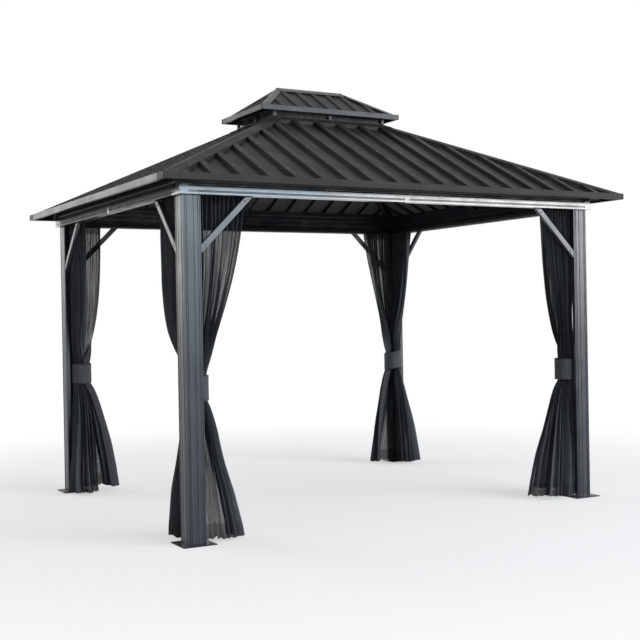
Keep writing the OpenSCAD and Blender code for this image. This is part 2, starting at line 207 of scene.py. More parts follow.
def face_outward(obj: bpy.types.Object) -> None:
    """Turns all of a closed mesh's faces outward."""
    mesh = bmesh.new()
    mesh.from_mesh(obj.data)
    bmesh.ops.recalc_face_normals(mesh, faces=mesh.faces)
    mesh.to_mesh(obj.data)
    mesh.free()


def finish_piece(obj: bpy.types.Object, material: bpy.types.Material) -> None:
    """Gives a new piece its material, and fixes it to the gazebo's one body.

    Args:
        obj: The piece.
        material: Its finish.
    """
    obj.data.materials.clear()
    obj.data.materials.append(material)
    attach(obj, "root")
    LOG.info("piece %s: %d faces", obj.name, len(obj.data.polygons))


# ---- Shader helpers ---------------------------------------------------------


class Nodes:
    """A short way to write a node tree."""

    def __init__(self, tree: bpy.types.NodeTree) -> None:
        """Keeps the tree that nodes are added to."""
        self.tree = tree

    def feed(self, node: bpy.types.Node, inputs: dict) -> bpy.types.NodeTree:
        """Sets or links a node's inputs.

        Args:
            node: The node.
            inputs: Values or output sockets for its inputs, by name or number.

        Returns:
            The tree.
        """
        for key, value in inputs.items():
            if isinstance(value, bpy.types.NodeSocket):
                self.tree.links.new(value, node.inputs[key])
            else:
                node.inputs[key].default_value = value
        return self.tree

    def add(self, kind: str, inputs: dict | None = None, **settings: object) -> bpy.types.Node:
        """Adds a node.

        Args:
            kind: The node's type name.
            inputs: Values or output sockets for its inputs, by name or number.
            settings: Values for its properties.

        Returns:
            The new node.
        """
        node = self.tree.nodes.new(kind)
        for key, value in settings.items():
            setattr(node, key, value)
        self.feed(node, inputs or {})
        return node

    def group(self, tree: bpy.types.NodeTree, **inputs: object) -> bpy.types.Node:
        """Places a shared effect, with values or output sockets for its inputs."""
        return self.add("ShaderNodeGroup", inputs, node_tree=tree)

    def math(self, operation: str, *values: object, clamp: bool = False) -> bpy.types.NodeSocket:
        """The result of a Math node on numbers or sockets."""
        node = self.add("ShaderNodeMath", dict(enumerate(values)), operation=operation, use_clamp=clamp)
        return node.outputs[0]

    def fade(
        self, value: object, low: float, high: float, to_low: float = 0.0, to_high: float = 1.0
    ) -> bpy.types.NodeSocket:
        """Adds a smooth Map Range node.

        Args:
            value: The input.
            low: Where the result starts to change.
            high: Where it stops changing.
            to_low: The result at low.
            to_high: The result at high.

        Returns:
            Its output.
        """
        inputs = {0: value, 1: low, 2: high, 3: to_low, 4: to_high}
        return self.add("ShaderNodeMapRange", inputs, interpolation_type="SMOOTHSTEP").outputs[0]

    def blend(self, share: object, first: object, second: object) -> bpy.types.NodeSocket:
        """The mix of two colours, with the share of the second one."""
        return self.add("ShaderNodeMix", {0: share, 6: first, 7: second}, data_type="RGBA").outputs[2]

    def noise(
        self, vector: object, scale: object, detail: float, roughness: float = 0.5
    ) -> bpy.types.NodeSocket:
        """The value of a Noise Texture node."""
        inputs = {"Vector": vector, "Scale": scale, "Detail": detail, "Roughness": roughness}
        return self.add("ShaderNodeTexNoise", inputs).outputs[0]

    def stretch(self, vector: object, factors: object) -> bpy.types.NodeSocket:
        """A vector with each part multiplied by its own factor."""
        return self.add("ShaderNodeVectorMath", {0: vector, 1: factors}, operation="MULTIPLY").outputs[0]

    def bump(self, height: object, strength: float, distance: float) -> bpy.types.NodeSocket:
        """The normal of a surface with a height on it."""
        inputs = {"Strength": strength, "Distance": distance, "Height": height}
        return self.add("ShaderNodeBump", inputs).outputs[0]

    def facing_up(self) -> bpy.types.NodeSocket:
        """How far the surface looks up, from -1 to 1."""
        normal = self.add("ShaderNodeNewGeometry").outputs["Normal"]
        return self.add("ShaderNodeSeparateXYZ", {0: normal}).outputs[2]

    def cloth_map(self) -> tuple[bpy.types.NodeSocket, bpy.types.NodeSocket, bpy.types.NodeSocket]:
        """A cloth's own map in metres, and the map's two parts."""
        cloth = self.add("ShaderNodeUVMap", uv_map="cloth").outputs[0]
        parts = self.add("ShaderNodeSeparateXYZ", {0: cloth}).outputs
        return cloth, parts[0], parts[1]

    def to_edge(self, place: object, width: float) -> bpy.types.NodeSocket:
        """The distance from a place on a cloth to the nearer of two opposite edges."""
        from_middle = self.math("ABSOLUTE", self.math("SUBTRACT", place, width / 2))
        return self.math("SUBTRACT", width / 2, from_middle)

    def seen_directly(self) -> bpy.types.NodeSocket:
        """1 where the surface is seen, also mirrored or through the nets, and 0 where it only gives light."""
        path = self.add("ShaderNodeLightPath").outputs
        seen = self.math("MAXIMUM", path["Is Camera Ray"], path["Is Glossy Ray"])
        return self.math("MAXIMUM", seen, path["Is Transmission Ray"])


FLOAT, COLOUR, VECTOR = "NodeSocketFloat", "NodeSocketColor", "NodeSocketVector"
HEIGHT, MASK, TONE = ("Height", FLOAT), ("Mask", FLOAT), ("Color", COLOUR)


def new_group(name: str, inputs: Sequence[tuple], outputs: Sequence[tuple[str, str]]) -> tuple:
    """Starts a shader node group that takes a Vector first.

    Args:
        name: The group's name.
        inputs: Name, socket type and usual value of each further input.
        outputs: Name and socket type of each output.

    Returns:
        The group's node writer, its inputs' sockets and its output node.
    """
    group = bpy.data.node_groups.new(name, "ShaderNodeTree")
    for title, kind, value in (("Vector", VECTOR, None), *inputs):
        socket = group.interface.new_socket(title, in_out="INPUT", socket_type=kind)
        if value is not None:
            socket.default_value = value
    for title, kind in outputs:
        group.interface.new_socket(title, in_out="OUTPUT", socket_type=kind)
    write = Nodes(group)
    source = write.add("NodeGroupInput")
    sink = write.add("NodeGroupOutput")
    return write, source.outputs, sink


class Effects:
    """The surface effects that several finishes share, each built once as a node group."""

    def __init__(self) -> None:
        """Builds every group."""
        self.powder = self._powder_coat()
        self.drawn = self._drawn_lines()
        self.drift = self._tone_drift()
        self.dust = self._settled_dust()
        self.wear_and_highlight = self._edge_wear_and_highlight()
        self.under = self._underside()
        self.weave = self._weave()

    @staticmethod
    def _powder_coat() -> bpy.types.NodeTree:
        """The fine orange peel of a powder coat, as a height and a roughness mask."""
        write, given, sink = new_group("powder_coat", [("Grain", FLOAT, 900.0)], [HEIGHT, MASK])
        peel = write.noise(given["Vector"], given["Grain"], 2.0)
        broad = write.noise(given["Vector"], 6.0, 3.0)
        return write.feed(sink, {"Height": peel, "Mask": write.fade(broad, 0.35, 0.65)})

    @staticmethod
    def _drawn_lines() -> bpy.types.NodeTree:
        """Fine lines left along a drawn or rolled piece, as a height and a mask."""
        write, given, sink = new_group("drawn_lines", [("Across", VECTOR, (60.0, 60.0, 0.6))], [HEIGHT, MASK])
        lines = write.noise(write.stretch(given["Vector"], given["Across"]), 1.0, 4.0)
        return write.feed(sink, {"Height": lines, "Mask": write.fade(lines, 0.42, 0.62)})

    @staticmethod
    def _tone_drift() -> bpy.types.NodeTree:
        """A slow change of tone over a large surface, between two colours."""
        inputs = [("Scale", FLOAT, 1.5), ("First", COLOUR, None), ("Second", COLOUR, None)]
        write, given, sink = new_group("tone_drift", inputs, [TONE])
        share = write.fade(write.noise(given["Vector"], given["Scale"], 2.0), 0.3, 0.7)
        return write.feed(sink, {"Color": write.blend(share, given["First"], given["Second"])})

    @staticmethod
    def _settled_dust() -> bpy.types.NodeTree:
        """A thin film of dust on faces that look up, as a mask."""
        write, given, sink = new_group("settled_dust", [("Amount", FLOAT, 0.2)], [MASK])
        level = write.fade(write.facing_up(), 0.3, 0.95)
        patches = write.fade(write.noise(given["Vector"], 9.0, 6.0), 0.3, 0.7)
        film = write.math("MULTIPLY", level, patches)
        return write.feed(sink, {"Mask": write.math("MULTIPLY", film, given["Amount"], clamp=True)})

    @staticmethod
    def _underside() -> bpy.types.NodeTree:
        """A mask of the faces that look down, with a soft mottle, where a paler colour is painted as
        underside light.
        """
        write, given, sink = new_group("underside", [], [MASK])
        down = write.fade(write.facing_up(), -0.45, -0.65)
        mottle = write.fade(write.noise(given["Vector"], 5.0, 3.0), 0.3, 0.7, 0.75, 1.0)
        return write.feed(sink, {"Mask": write.math("MULTIPLY", down, mottle)})

    @staticmethod
    def _edge_wear_and_highlight() -> bpy.types.NodeTree:
        """A mask of a piece's outer edges, broken up by a little noise, for worn edges and a painted
        highlight along them.
        """
        write, given, sink = new_group("edge_wear_and_highlight", [("Reach", FLOAT, 0.004)], [MASK])
        rounded = write.add("ShaderNodeBevel", {"Radius": given["Reach"]}, samples=4).outputs[0]
        true = write.add("ShaderNodeNewGeometry").outputs["Normal"]
        agree = write.add("ShaderNodeVectorMath", {0: rounded, 1: true}, operation="DOT_PRODUCT")
        edge = write.fade(agree.outputs["Value"], 0.98, 0.80)
        patches = write.fade(write.noise(given["Vector"], 40.0, 3.0), 0.35, 0.6, 0.35, 1.0)
        return write.feed(sink, {"Mask": write.math("MULTIPLY", edge, patches)})

    @staticmethod
    def _weave() -> bpy.types.NodeTree:
        """Crossing threads in the plane of a cloth's own map, as a thread mask and a height."""
        soft = 0.12
        inputs = [("Threads", FLOAT, 600.0), ("Cover", FLOAT, 0.4)]
        write, given, sink = new_group("thread_weave", inputs, [MASK, HEIGHT])
        parts = write.add("ShaderNodeSeparateXYZ", {0: given["Vector"]}).outputs
        turns = write.math("MULTIPLY", given["Threads"], 2 * math.pi)
        waves = [
            write.fade(write.math("COSINE", write.math("MULTIPLY", parts[axis], turns)), -1.0, 1.0)
            for axis in (0, 1)
        ]
        height = write.math("MAXIMUM", *waves)
        edge = write.math("SUBTRACT", 1.0, given["Cover"])
        low, high = write.math("SUBTRACT", edge, soft), write.math("ADD", edge, soft)
        mask = write.add("ShaderNodeMapRange", {0: height, 1: low, 2: high}).outputs[0]
        return write.feed(sink, {"Mask": mask, "Height": height})


# ---- Finishes ---------------------------------------------------------------

DUST_TONE: Rgb = (0.16, 0.15, 0.14)
WHITE: Rgb = (1.0, 1.0, 1.0)


def rgba(colour: Rgb) -> tuple[float, float, float, float]:
    """The colour with full alpha, as colour sockets take it."""
    return (*colour, 1.0)


def empty_tree(owner: bpy.types.Material | bpy.types.World) -> Nodes:
    """The writer of a material's or a world's node tree, emptied first."""
    owner.use_nodes = True
    owner.node_tree.nodes.clear()
    return Nodes(owner.node_tree)


def new_material(name: str) -> tuple[bpy.types.Material, Nodes, bpy.types.Node]:
    """Starts a material that has a Principled BSDF and nothing else.

    Args:
        name: The material's name.

    Returns:
        The material, its node writer and its Principled BSDF.
    """
    material = bpy.data.materials.new(name)
    write = empty_tree(material)
    surface = write.add("ShaderNodeBsdfPrincipled")
    write.add("ShaderNodeOutputMaterial", {"Surface": surface.outputs[0]})
    return material, write, surface


@dataclass(frozen=True)
class PaintedMetal:
    """Powder coat or enamel over metal."""

    name: str
    colour: Rgb
    second: Rgb
    # edge: the pale tone of worn edges and of painted highlights along edges and rib crests
    edge: Rgb
    roughness: float = 0.35
    specular: float = 0.5
    across: Rgb = (70.0, 70.0, 0.7)
    line_tone: float = 0.25
    line_depth: float = 0.25
    grain_depth: float = 0.15
    dust: float = 0.12
    wear_and_highlight_reach: float = 0.003
    drift_scale: float = 1.5
    painted_underside_light: Rgb | None = None
    wear_and_highlight_share: float = 0.8
    patch_roughness: float = 0.08
    line_roughness: float = 0.06
    dust_roughness: float = 0.3
    bump_strength: float = 0.6
    bump_height: float = 0.0004

    def make(self, effects: Effects) -> bpy.types.Material:
        """Builds the material.

        Args:
            effects: The shared effects.

        Returns:
            The new material.
        """
        material, write, surface = new_material(self.name)
        place = write.add("ShaderNodeTexCoord").outputs["Object"]
        tones = {"First": rgba(self.colour), "Second": rgba(self.second)}
        drift = write.group(effects.drift, Vector=place, Scale=self.drift_scale, **tones)
        drawn = write.group(effects.drawn, Vector=place, Across=self.across).outputs
        powder = write.group(effects.powder, Vector=place).outputs
        wear_and_highlight = write.group(effects.wear_and_highlight, Vector=place, Reach=self.wear_and_highlight_reach).outputs["Mask"]
        dust = write.group(effects.dust, Vector=place, Amount=self.dust).outputs["Mask"]
        # Drawn lines and the edge mask lighten the colour toward the edge tone: real lines and wear, with
        # painted highlights along edges and painted sheen in the lines
        lined = write.math("MULTIPLY", drawn["Mask"], self.line_tone)
        tone = write.blend(lined, drift.outputs["Color"], rgba(self.edge))
        tone = write.blend(write.math("MULTIPLY", wear_and_highlight, self.wear_and_highlight_share), tone, rgba(self.edge))
        tone = write.blend(dust, tone, rgba(DUST_TONE))
        # Painted light: downward faces take a paler, mottled colour that stands in for bounced and mirrored
        # light under the roofs
        if self.painted_underside_light:
            under = write.group(effects.under, Vector=place).outputs["Mask"]
            tone = write.blend(under, tone, rgba(self.painted_underside_light))
        least = self.roughness - self.patch_roughness / 2
        rough = write.math("MULTIPLY_ADD", powder["Mask"], self.patch_roughness, least)
        rough = write.math("MULTIPLY_ADD", drawn["Mask"], self.line_roughness, rough)
        rough = write.math("MULTIPLY_ADD", dust, self.dust_roughness, rough)
        height = write.math("MULTIPLY", drawn["Height"], self.line_depth)
        height = write.math("MULTIPLY_ADD", powder["Height"], self.grain_depth, height)
        normal = write.bump(height, self.bump_strength, self.bump_height)
        write.feed(surface, {"Base Color": tone, "Roughness": rough, "Normal": normal})
        write.feed(surface, {"Specular IOR Level": self.specular})
        return material


@dataclass(frozen=True)
class Netting:
    """Sheer polyester netting with denser bands along its edges."""

    name: str = "black_netting"
    thread: Rgb = (0.050, 0.057, 0.068)
    faded: Rgb = (0.085, 0.092, 0.096)
    band_tone: Rgb = (0.060, 0.058, 0.063)
    drift_scale: float = 2.2
    threads_per_metre: float = 620.0
    cover: float = 0.42
    sheer: float = 0.46
    bunched: float = 0.76
    streak: Rgb = (16.0, 2.6, 1.0)
    border: float = 0.048
    header: float = 0.060
    hem: float = 0.095
    hem_share: float = 0.72
    band_soft: float = 0.002
    band_cover: float = 0.88
    band_threads: float = 0.10
    roughness: float = 0.7
    specular: float = 0.12
    bump_strength: float = 0.3
    bump_height: float = 0.0002

    def make(self, effects: Effects, width: float, length: float) -> bpy.types.Material:
        """Builds the material for a cloth whose map is in metres.

        Args:
            effects: The shared effects.
            width: The cloth's flat width.
            length: Its flat length.

        Returns:
            The new material.
        """
        material, write, surface = new_material(self.name)
        cloth, across, down = write.cloth_map()
        weave = write.group(effects.weave, Vector=cloth, Threads=self.threads_per_metre, Cover=self.cover)
        threads = weave.outputs["Mask"]
        tones = {"First": rgba(self.thread), "Second": rgba(self.faded)}
        drift = write.group(effects.drift, Vector=cloth, Scale=self.drift_scale, **tones)
        soft, hem_line = self.band_soft, length - self.hem
        side = write.fade(write.to_edge(across, width), self.border - soft, self.border + soft, 1.0, 0.0)
        header = write.fade(down, self.header - soft, self.header + soft, 1.0, 0.0)
        hem = write.fade(down, hem_line - soft, hem_line + soft, 0.0, self.hem_share)
        band = write.math("MAXIMUM", write.math("MAXIMUM", side, header), hem)
        bunch = write.noise(write.stretch(cloth, self.streak), 1.0, 5.0, roughness=0.6)
        least = write.fade(bunch, 0.38, 0.64, self.sheer, self.bunched)
        open_net = write.math("MULTIPLY_ADD", threads, write.math("SUBTRACT", 1.0, least), least)
        solid = write.math("MULTIPLY_ADD", threads, self.band_threads, self.band_cover)
        cover = write.add("ShaderNodeMix", {0: band, 2: open_net, 3: solid}, data_type="FLOAT").outputs[0]
        write.feed(surface, {
            "Base Color": write.blend(band, drift.outputs["Color"], rgba(self.band_tone)),
            "Alpha": cover,
            "Normal": write.bump(weave.outputs["Height"], self.bump_strength, self.bump_height),
            "Roughness": self.roughness,
            "Specular IOR Level": self.specular,
        })
        return material


@dataclass(frozen=True)
class Webbing:
    """Woven strap with a line of stitches near each long edge."""

    name: str = "grey_webbing"
    yarn: Rgb = (0.052, 0.054, 0.060)
    worn: Rgb = (0.075, 0.078, 0.085)
    stitch: Rgb = (0.020, 0.020, 0.022)
    drift_scale: float = 25.0
    rows_per_metre: float = 420.0
    cover: float = 0.5
    row_tone: float = 0.35
    stitch_in: float = 0.007
    stitch_pitch: float = 0.0042
    stitch_share: float = 0.68
    stitch_edge: Span = (0.0006, 0.0011)
    stitch_depth: float = 2.0
    roughness: float = 0.82
    row_roughness: float = -0.1
    specular: float = 0.25
    bump_strength: float = 0.7
    bump_height: float = 0.0006

    def make(self, effects: Effects, height: float) -> bpy.types.Material:
        """Builds the material for a strap whose map is in metres.

        Args:
            effects: The shared effects.
            height: The strap's width, which stands upright.

        Returns:
            The new material.
        """
        material, write, surface = new_material(self.name)
        cloth, along, up = write.cloth_map()
        size = {"Threads": self.rows_per_metre, "Cover": self.cover}
        weave = write.group(effects.weave, Vector=cloth, **size).outputs
        tones = {"First": rgba(self.yarn), "Second": rgba(self.worn)}
        drift = write.group(effects.drift, Vector=cloth, Scale=self.drift_scale, **tones)
        from_line = write.math("SUBTRACT", write.to_edge(up, height), self.stitch_in)
        line = write.fade(write.math("ABSOLUTE", from_line), *self.stitch_edge, 1.0, 0.0)
        dash = write.math("FRACT", write.math("DIVIDE", along, self.stitch_pitch))
        stitches = write.math("MULTIPLY", line, write.math("LESS_THAN", dash, self.stitch_share))
        rows = write.math("MULTIPLY", weave["Mask"], self.row_tone)
        shaded = write.blend(rows, drift.outputs["Color"], rgba(self.worn))
        sunk = write.math("MULTIPLY", stitches, self.stitch_depth)
        relief = write.math("SUBTRACT", weave["Height"], sunk)
        write.feed(surface, {
            "Base Color": write.blend(stitches, shaded, rgba(self.stitch)),
            "Roughness": write.math("MULTIPLY_ADD", weave["Mask"], self.row_roughness, self.roughness),
            "Normal": write.bump(relief, self.bump_strength, self.bump_height),
            "Specular IOR Level": self.specular,
        })
        return material


UPRIGHT = (70.0, 70.0, 0.7)
ALONG_X = (0.7, 70.0, 70.0)
ALONG_Y = (70.0, 0.7, 70.0)
DOWN_LONG_SLOPES = (45.0, 0.9, 0.9)
DOWN_SHORT_SLOPES = (0.9, 45.0, 0.9)

POST = PaintedMetal(
    "charcoal_post", (0.014, 0.018, 0.026), (0.018, 0.022, 0.030), (0.060, 0.074, 0.092),
    roughness=0.28, across=UPRIGHT, line_tone=0.18, line_depth=0.15,
)
BEAM = PaintedMetal(
    "charcoal_beam", (0.020, 0.024, 0.030), (0.026, 0.030, 0.037), (0.060, 0.068, 0.080),
    roughness=0.18, specular=1.0, across=ALONG_X, line_tone=0.14, line_depth=0.2,
)
# BEAM and SIDE_BEAM are a lit and a shaded copy of one paint: the side beams reflect far less, as painted
# shade on them
SIDE_BEAM = replace(BEAM, name="charcoal_beam_side", roughness=0.30, specular=0.1, across=ALONG_Y)
FOOT = PaintedMetal(
    "charcoal_foot", (0.010, 0.011, 0.012), (0.014, 0.015, 0.017), (0.04, 0.04, 0.04), specular=0.2, dust=0.08
)
BRACE = PaintedMetal(
    "grey_brace", (0.074, 0.078, 0.092), (0.088, 0.093, 0.108), (0.17, 0.175, 0.19), roughness=0.34
)
INNER = PaintedMetal(
    "black_inner_frame", (0.008, 0.008, 0.009), (0.012, 0.012, 0.012), (0.03, 0.03, 0.03),
    roughness=0.55, specular=0.2,
)
ROOF = PaintedMetal(
    "brown_roof_sheet", (0.0120, 0.0092, 0.0080), (0.0085, 0.0092, 0.0080), (0.130, 0.118, 0.108),
    roughness=0.42, specular=0.06, across=DOWN_LONG_SLOPES, line_tone=0.16, dust=0.05, drift_scale=0.8,
    wear_and_highlight_reach=0.004, painted_underside_light=(0.15, 0.145, 0.138),
)
SIDE_ROOF = replace(ROOF, name="brown_roof_sheet_side", across=DOWN_SHORT_SLOPES)
TRIM = PaintedMetal(
    "brown_roof_trim", (0.009, 0.0082, 0.0076), (0.012, 0.0110, 0.0102), (0.12, 0.115, 0.11),
    roughness=0.42, specular=0.05, line_tone=0.12,
)
FASCIA = PaintedMetal(
    "brown_fascia", (0.030, 0.025, 0.022), (0.036, 0.031, 0.028), (0.085, 0.075, 0.068),
    roughness=0.40, specular=0.06, across=ALONG_X,
)
# Painted light: a paler, greyer copy of the fascia paint for the short sides, standing in for the cooler
# light on them
SIDE_FASCIA = PaintedMetal(
    "fascia_side_painted_light", (0.070, 0.075, 0.072), (0.085, 0.090, 0.087), (0.16, 0.165, 0.16),
    roughness=0.40, across=ALONG_Y,
)
# The upper roof's pale edge tone is mostly a painted highlight along its rib crests
UPPER = PaintedMetal(
    "slate_roof_sheet", (0.010, 0.0102, 0.011), (0.014, 0.0142, 0.015), (0.26, 0.265, 0.275),
    roughness=0.42, specular=0.06, across=DOWN_LONG_SLOPES, line_tone=0.10, dust=0.03, wear_and_highlight_reach=0.005,
    painted_underside_light=(0.10, 0.10, 0.10),
)
SIDE_UPPER = replace(UPPER, name="slate_roof_sheet_side", across=DOWN_SHORT_SLOPES)
UPPER_TRIM = PaintedMetal(
    "slate_roof_trim", (0.030, 0.032, 0.034), (0.038, 0.040, 0.043), (0.14, 0.145, 0.15),
    roughness=0.40, specular=0.25, across=ALONG_X,
)
ZINC = PaintedMetal(
    "painted_screw", (0.06, 0.06, 0.057), (0.09, 0.09, 0.085), (0.22, 0.22, 0.21), wear_and_highlight_reach=0.001
)
WIRE = PaintedMetal(
    "black_wire", (0.010, 0.010, 0.011), (0.014, 0.014, 0.015), (0.03, 0.03, 0.03), specular=0.3
)
NYLON = PaintedMetal(
    "black_nylon", (0.016, 0.016, 0.018), (0.02, 0.02, 0.022), (0.04, 0.04, 0.045), roughness=0.5
)


class Paints:
    """Makes each finish once and hands it out again."""

    def __init__(self, effects: Effects) -> None:
        """Keeps the shared effects."""
        self.effects = effects
        self.made: dict[str, bpy.types.Material] = {}

    def get(self, finish: PaintedMetal) -> bpy.types.Material:
        """The material of a finish."""
        if finish.name not in self.made:
            self.made[finish.name] = finish.make(self.effects)
        return self.made[finish.name]

    def dress(self, node: str, finish: PaintedMetal, edge: float) -> None:
        """Gives a CAD node its finish and fine rounded edges.

        Args:
            node: The node's name.
            finish: Its finish.
            edge: Width of the rounding.
        """
        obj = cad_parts[node]
        for spot in obj.material_slots:
            spot.material = self.get(finish)
        obj.modifiers.new("join", "WELD").merge_threshold = 0.00002
        flat = obj.modifiers.new("flat_faces", "DECIMATE")
        flat.decimate_type = "DISSOLVE"
        flat.angle_limit = math.radians(0.3)
        bevel = add_bevel(obj, edge)
        bevel.angle_limit = math.radians(28)
        bevel.harden_normals = False
        obj.modifiers.new("normals", "WEIGHTED_NORMAL").keep_sharp = False


def add_bevel(obj: bpy.types.Object, edge: float) -> bpy.types.Modifier:
    """Rounds a piece's edges with a fine bevel."""
    bevel = obj.modifiers.new("edges", "BEVEL")
    bevel.width = edge
    bevel.segments = 2
    bevel.limit_method = "ANGLE"
    return bevel


# ---- Frame ------------------------------------------------------------------


@dataclass
class Fixings:
    """Screws and bolts that a sub-assembly gathers, all of one kind."""

    name: str
    slot: Slot
    washer: Span
    head: Span
    domed: bool = False
    sunk: float = 0.0006
    round_sides: int = 12
    flat_sides: int = 6
    heads: list[tuple[Sequence[float], Sequence[float]]] = field(default_factory=list)

    def put(self, place: Sequence[float], normal: Sequence[float]) -> None:
        """Adds a fixing whose washer lies on a surface at a point."""
        self.heads.append((place, normal))

    def build(self, material: bpy.types.Material) -> None:
        """Makes one piece of all the fixings, with the given finish."""
        parts = MeshParts()
        wide, thick = self.washer
        washer = [(wide * 0.96, -self.sunk), (wide, thick * 0.4), (wide * 0.9, thick)]
        disc = stacked_rings(washer, self.round_sides)
        dome = ((1.0, 0.0), (1.0, 0.3), (0.8, 0.75), (0.35, 1.0))
        hexagon = ((1.0, 0.0), (1.0, 0.85), (0.86, 1.0))
        shares = dome if self.domed else hexagon
        rings = [(self.head[0] * share, thick + self.head[1] * up) for share, up in shares]
        top = stacked_rings(rings, self.round_sides if self.domed else self.flat_sides)
        for place, normal in self.heads:
            spot = aimed(place, normal)
            parts.add(*disc, spot)
            parts.add(*top, spot)
        finish_piece(parts.to_object(self.name), material)


@dataclass
class Frame:
    """Posts, feet, beams, knee braces, rails and rafters."""

    brace_leg: float = 0.360
    brace_height: float = 0.038
    bolt_inset: float = 0.030
    cover_wide: float = 0.040
    cover_thick: float = 0.0012
    cover_high: float = 0.050
    cover_deep: float = 0.050
    cover_edge: float = 0.0005

    def dress_nodes(self, paints: Paints) -> None:
        """Gives the frame's CAD nodes their finishes."""
        for corner in Corner:
            paints.dress(f"post_{corner.word}", POST, 0.0009)
            paints.dress(f"foot_plate_{corner.word}", FOOT, 0.0008)
            paints.dress(f"beam_corner_{corner.word}", BEAM, 0.0010)
        for side in Side:
            paints.dress(f"beam_{side.word}", BEAM if side.is_long else SIDE_BEAM, 0.0010)
            paints.dress(f"knee_braces_{side.word}", BRACE, 0.0022)
        for node in ("curtain_rails", "hip_rafters", "middle_rafters", "crown_ring"):
            paints.dress(node, INNER, 0.0015)

    def build_splices(self, paints: Paints) -> None:
        """Puts a folded cover over the joint in the middle of each beam.

        Args:
            paints: The finishes.
        """
        thick, deep, high_edge = self.cover_thick, self.cover_deep, self.cover_high
        profile = [
            (0.0, high_edge), (0.0, -thick), (-deep, -thick),
            (-deep, 0.0), (-thick, 0.0), (-thick, high_edge),
        ]
        count = len(profile)
        faces = [tuple(range(count)), tuple(reversed(range(count, 2 * count)))]
        faces += [(i, i + count, (i + 1) % count + count, (i + 1) % count) for i in range(count)]
        for side in Side:
            low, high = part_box(f"beam_{side.word}")
            across = Vector((abs(side.value[1]), abs(side.value[0]), 0.0))
            reach = abs((high if side.sign > 0 else low)[side.axes[1]])
            points = []
            for end in (-self.cover_wide / 2, self.cover_wide / 2):
                for far_out, up in profile:
                    spot = side.out * (reach + thick + far_out) + across * end
                    points.append((spot.x, spot.y, low.z + up))
            parts = MeshParts()
            parts.add(points, faces)
            cover = parts.to_object(f"beam_splice_{side.word}")
            face_outward(cover)
            add_bevel(cover, self.cover_edge)
            cover.modifiers.new("normals", "WEIGHTED_NORMAL")
            finish_piece(cover, paints.get(BEAM))

    def build_fixings(self, paints: Paints) -> None:
        """Puts two bolts in both faces of each knee brace.

        Args:
            paints: The finishes.
        """
        bolts = Fixings("brace_bolts", Slot.BRACE, washer=(0.0075, 0.0012), head=(0.0048, 0.0040), domed=True)
        far = self.brace_leg - self.bolt_inset - self.brace_height / 2 * math.sqrt(2)
        for side in Side:
            low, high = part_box(f"knee_braces_{side.word}")
            main, cross = side.axes
            for end in (-1, 1):
                for face in (-1, 1):
                    for along, down in ((self.bolt_inset, far), (far, self.bolt_inset)):
                        place = [0.0, 0.0, high.z - down]
                        place[main] = (high[main] - along) * end
                        place[cross] = (high if face > 0 else low)[cross]
                        normal = [0.0, 0.0, 0.0]
                        normal[cross] = face
                        bolts.put(place, normal)
        bolts.build(paints.get(BRACE))


# ---- Roofs --------------------------------------------------------------------


@dataclass(frozen=True)
class Slope:
    """One slope of a hip roof, measured along its eave and inward from it in plan."""

    side: Side
    eave_half: float
    top_half: float
    eave_off: float
    top_off: float
    eave_z: float
    rise: float

    @property
    def run(self) -> float:
        """The slope's length in plan."""
        return self.eave_off - self.top_off

    @property
    def along(self) -> Vector:
        """The direction along the eave, to the right for someone who faces the slope."""
        return Vector((-self.side.out.y, self.side.out.x, 0.0))

    @property
    def normal(self) -> Vector:
        """The direction square to the slope."""
        return (self.side.out * self.rise + Vector((0.0, 0.0, self.run))).normalized()

    def half_at(self, run: float) -> float:
        """Half of the slope's width at a distance in from the eave."""
        return self.eave_half + (self.top_half - self.eave_half) * run / self.run

    def point(self, along: float, run: float, lift: float = 0.0) -> Vector:
        """A point above the sheets' underside.

        Args:
            along: Distance along the eave from its middle.
            run: Distance in from the eave, in plan.
            lift: Height above the underside.

        Returns:
            The point.
        """
        height = self.eave_z + self.rise * run / self.run + lift
        return self.side.out * (self.eave_off - run) + self.along * along + Vector((0.0, 0.0, height))


@dataclass
class HipRoof:
    """A hip roof of ribbed sheets, with the screws that hold them down."""

    name: str
    half_x: float
    half_y: float
    top_x: float
    top_y: float
    eave_z: float
    rise: float
    rib_pitch: float
    rib_high: float
    rib_top: float
    sheet: float
    rib_shift: float
    screw_runs: tuple[float, ...]
    screw_shift: float
    trim_slot: Slot
    rib_flank: float = 0.55

    def slope(self, side: Side) -> Slope:
        """The roof's slope on one side."""
        if side.is_long:
            return Slope(side, self.half_x, self.top_x, self.half_y, self.top_y, self.eave_z, self.rise)
        return Slope(side, self.half_y, self.top_y, self.half_x, self.top_x, self.eave_z, self.rise)

    def ribs(self, slope: Slope) -> list[float]:
        """Places of a slope's ribs along its eave."""
        shift = -slope.side.sign * self.rib_shift if slope.side.is_long else 0.0
        first = math.ceil((self.rib_foot - slope.eave_half - shift) / self.rib_pitch)
        last = math.floor((slope.eave_half - self.rib_foot - shift) / self.rib_pitch)
        return [shift + i * self.rib_pitch for i in range(first, last + 1)]

    @property
    def rib_foot(self) -> float:
        """Half of a rib's width at its foot."""
        return self.rib_top / 2 + self.rib_high * self.rib_flank

    @property
    def rib_lift(self) -> float:
        """Height of a rib's top above the sheets' underside."""
        return self.sheet + self.rib_high

    def build_screws(self, material: bpy.types.Material, margin: float, scale: float) -> None:
        """Puts a screw on each rib in every row where the rib is still clear of the hip.

        Args:
            material: The screws' finish.
            margin: Least distance from a screw to the hip.
            scale: Size of the screws.
        """
        washer, head = (0.0085 * scale, 0.0018), (0.0052 * scale, 0.0048 * scale)
        screws = Fixings(f"{self.name}_screws", self.trim_slot, washer=washer, head=head)
        for side in Side:
            slope = self.slope(side)
            for place in self.ribs(slope):
                for run in self.screw_runs:
                    if abs(place) < slope.half_at(run) - margin:
                        screws.put(slope.point(place + self.screw_shift, run, self.rib_lift), slope.normal)
        screws.build(material)


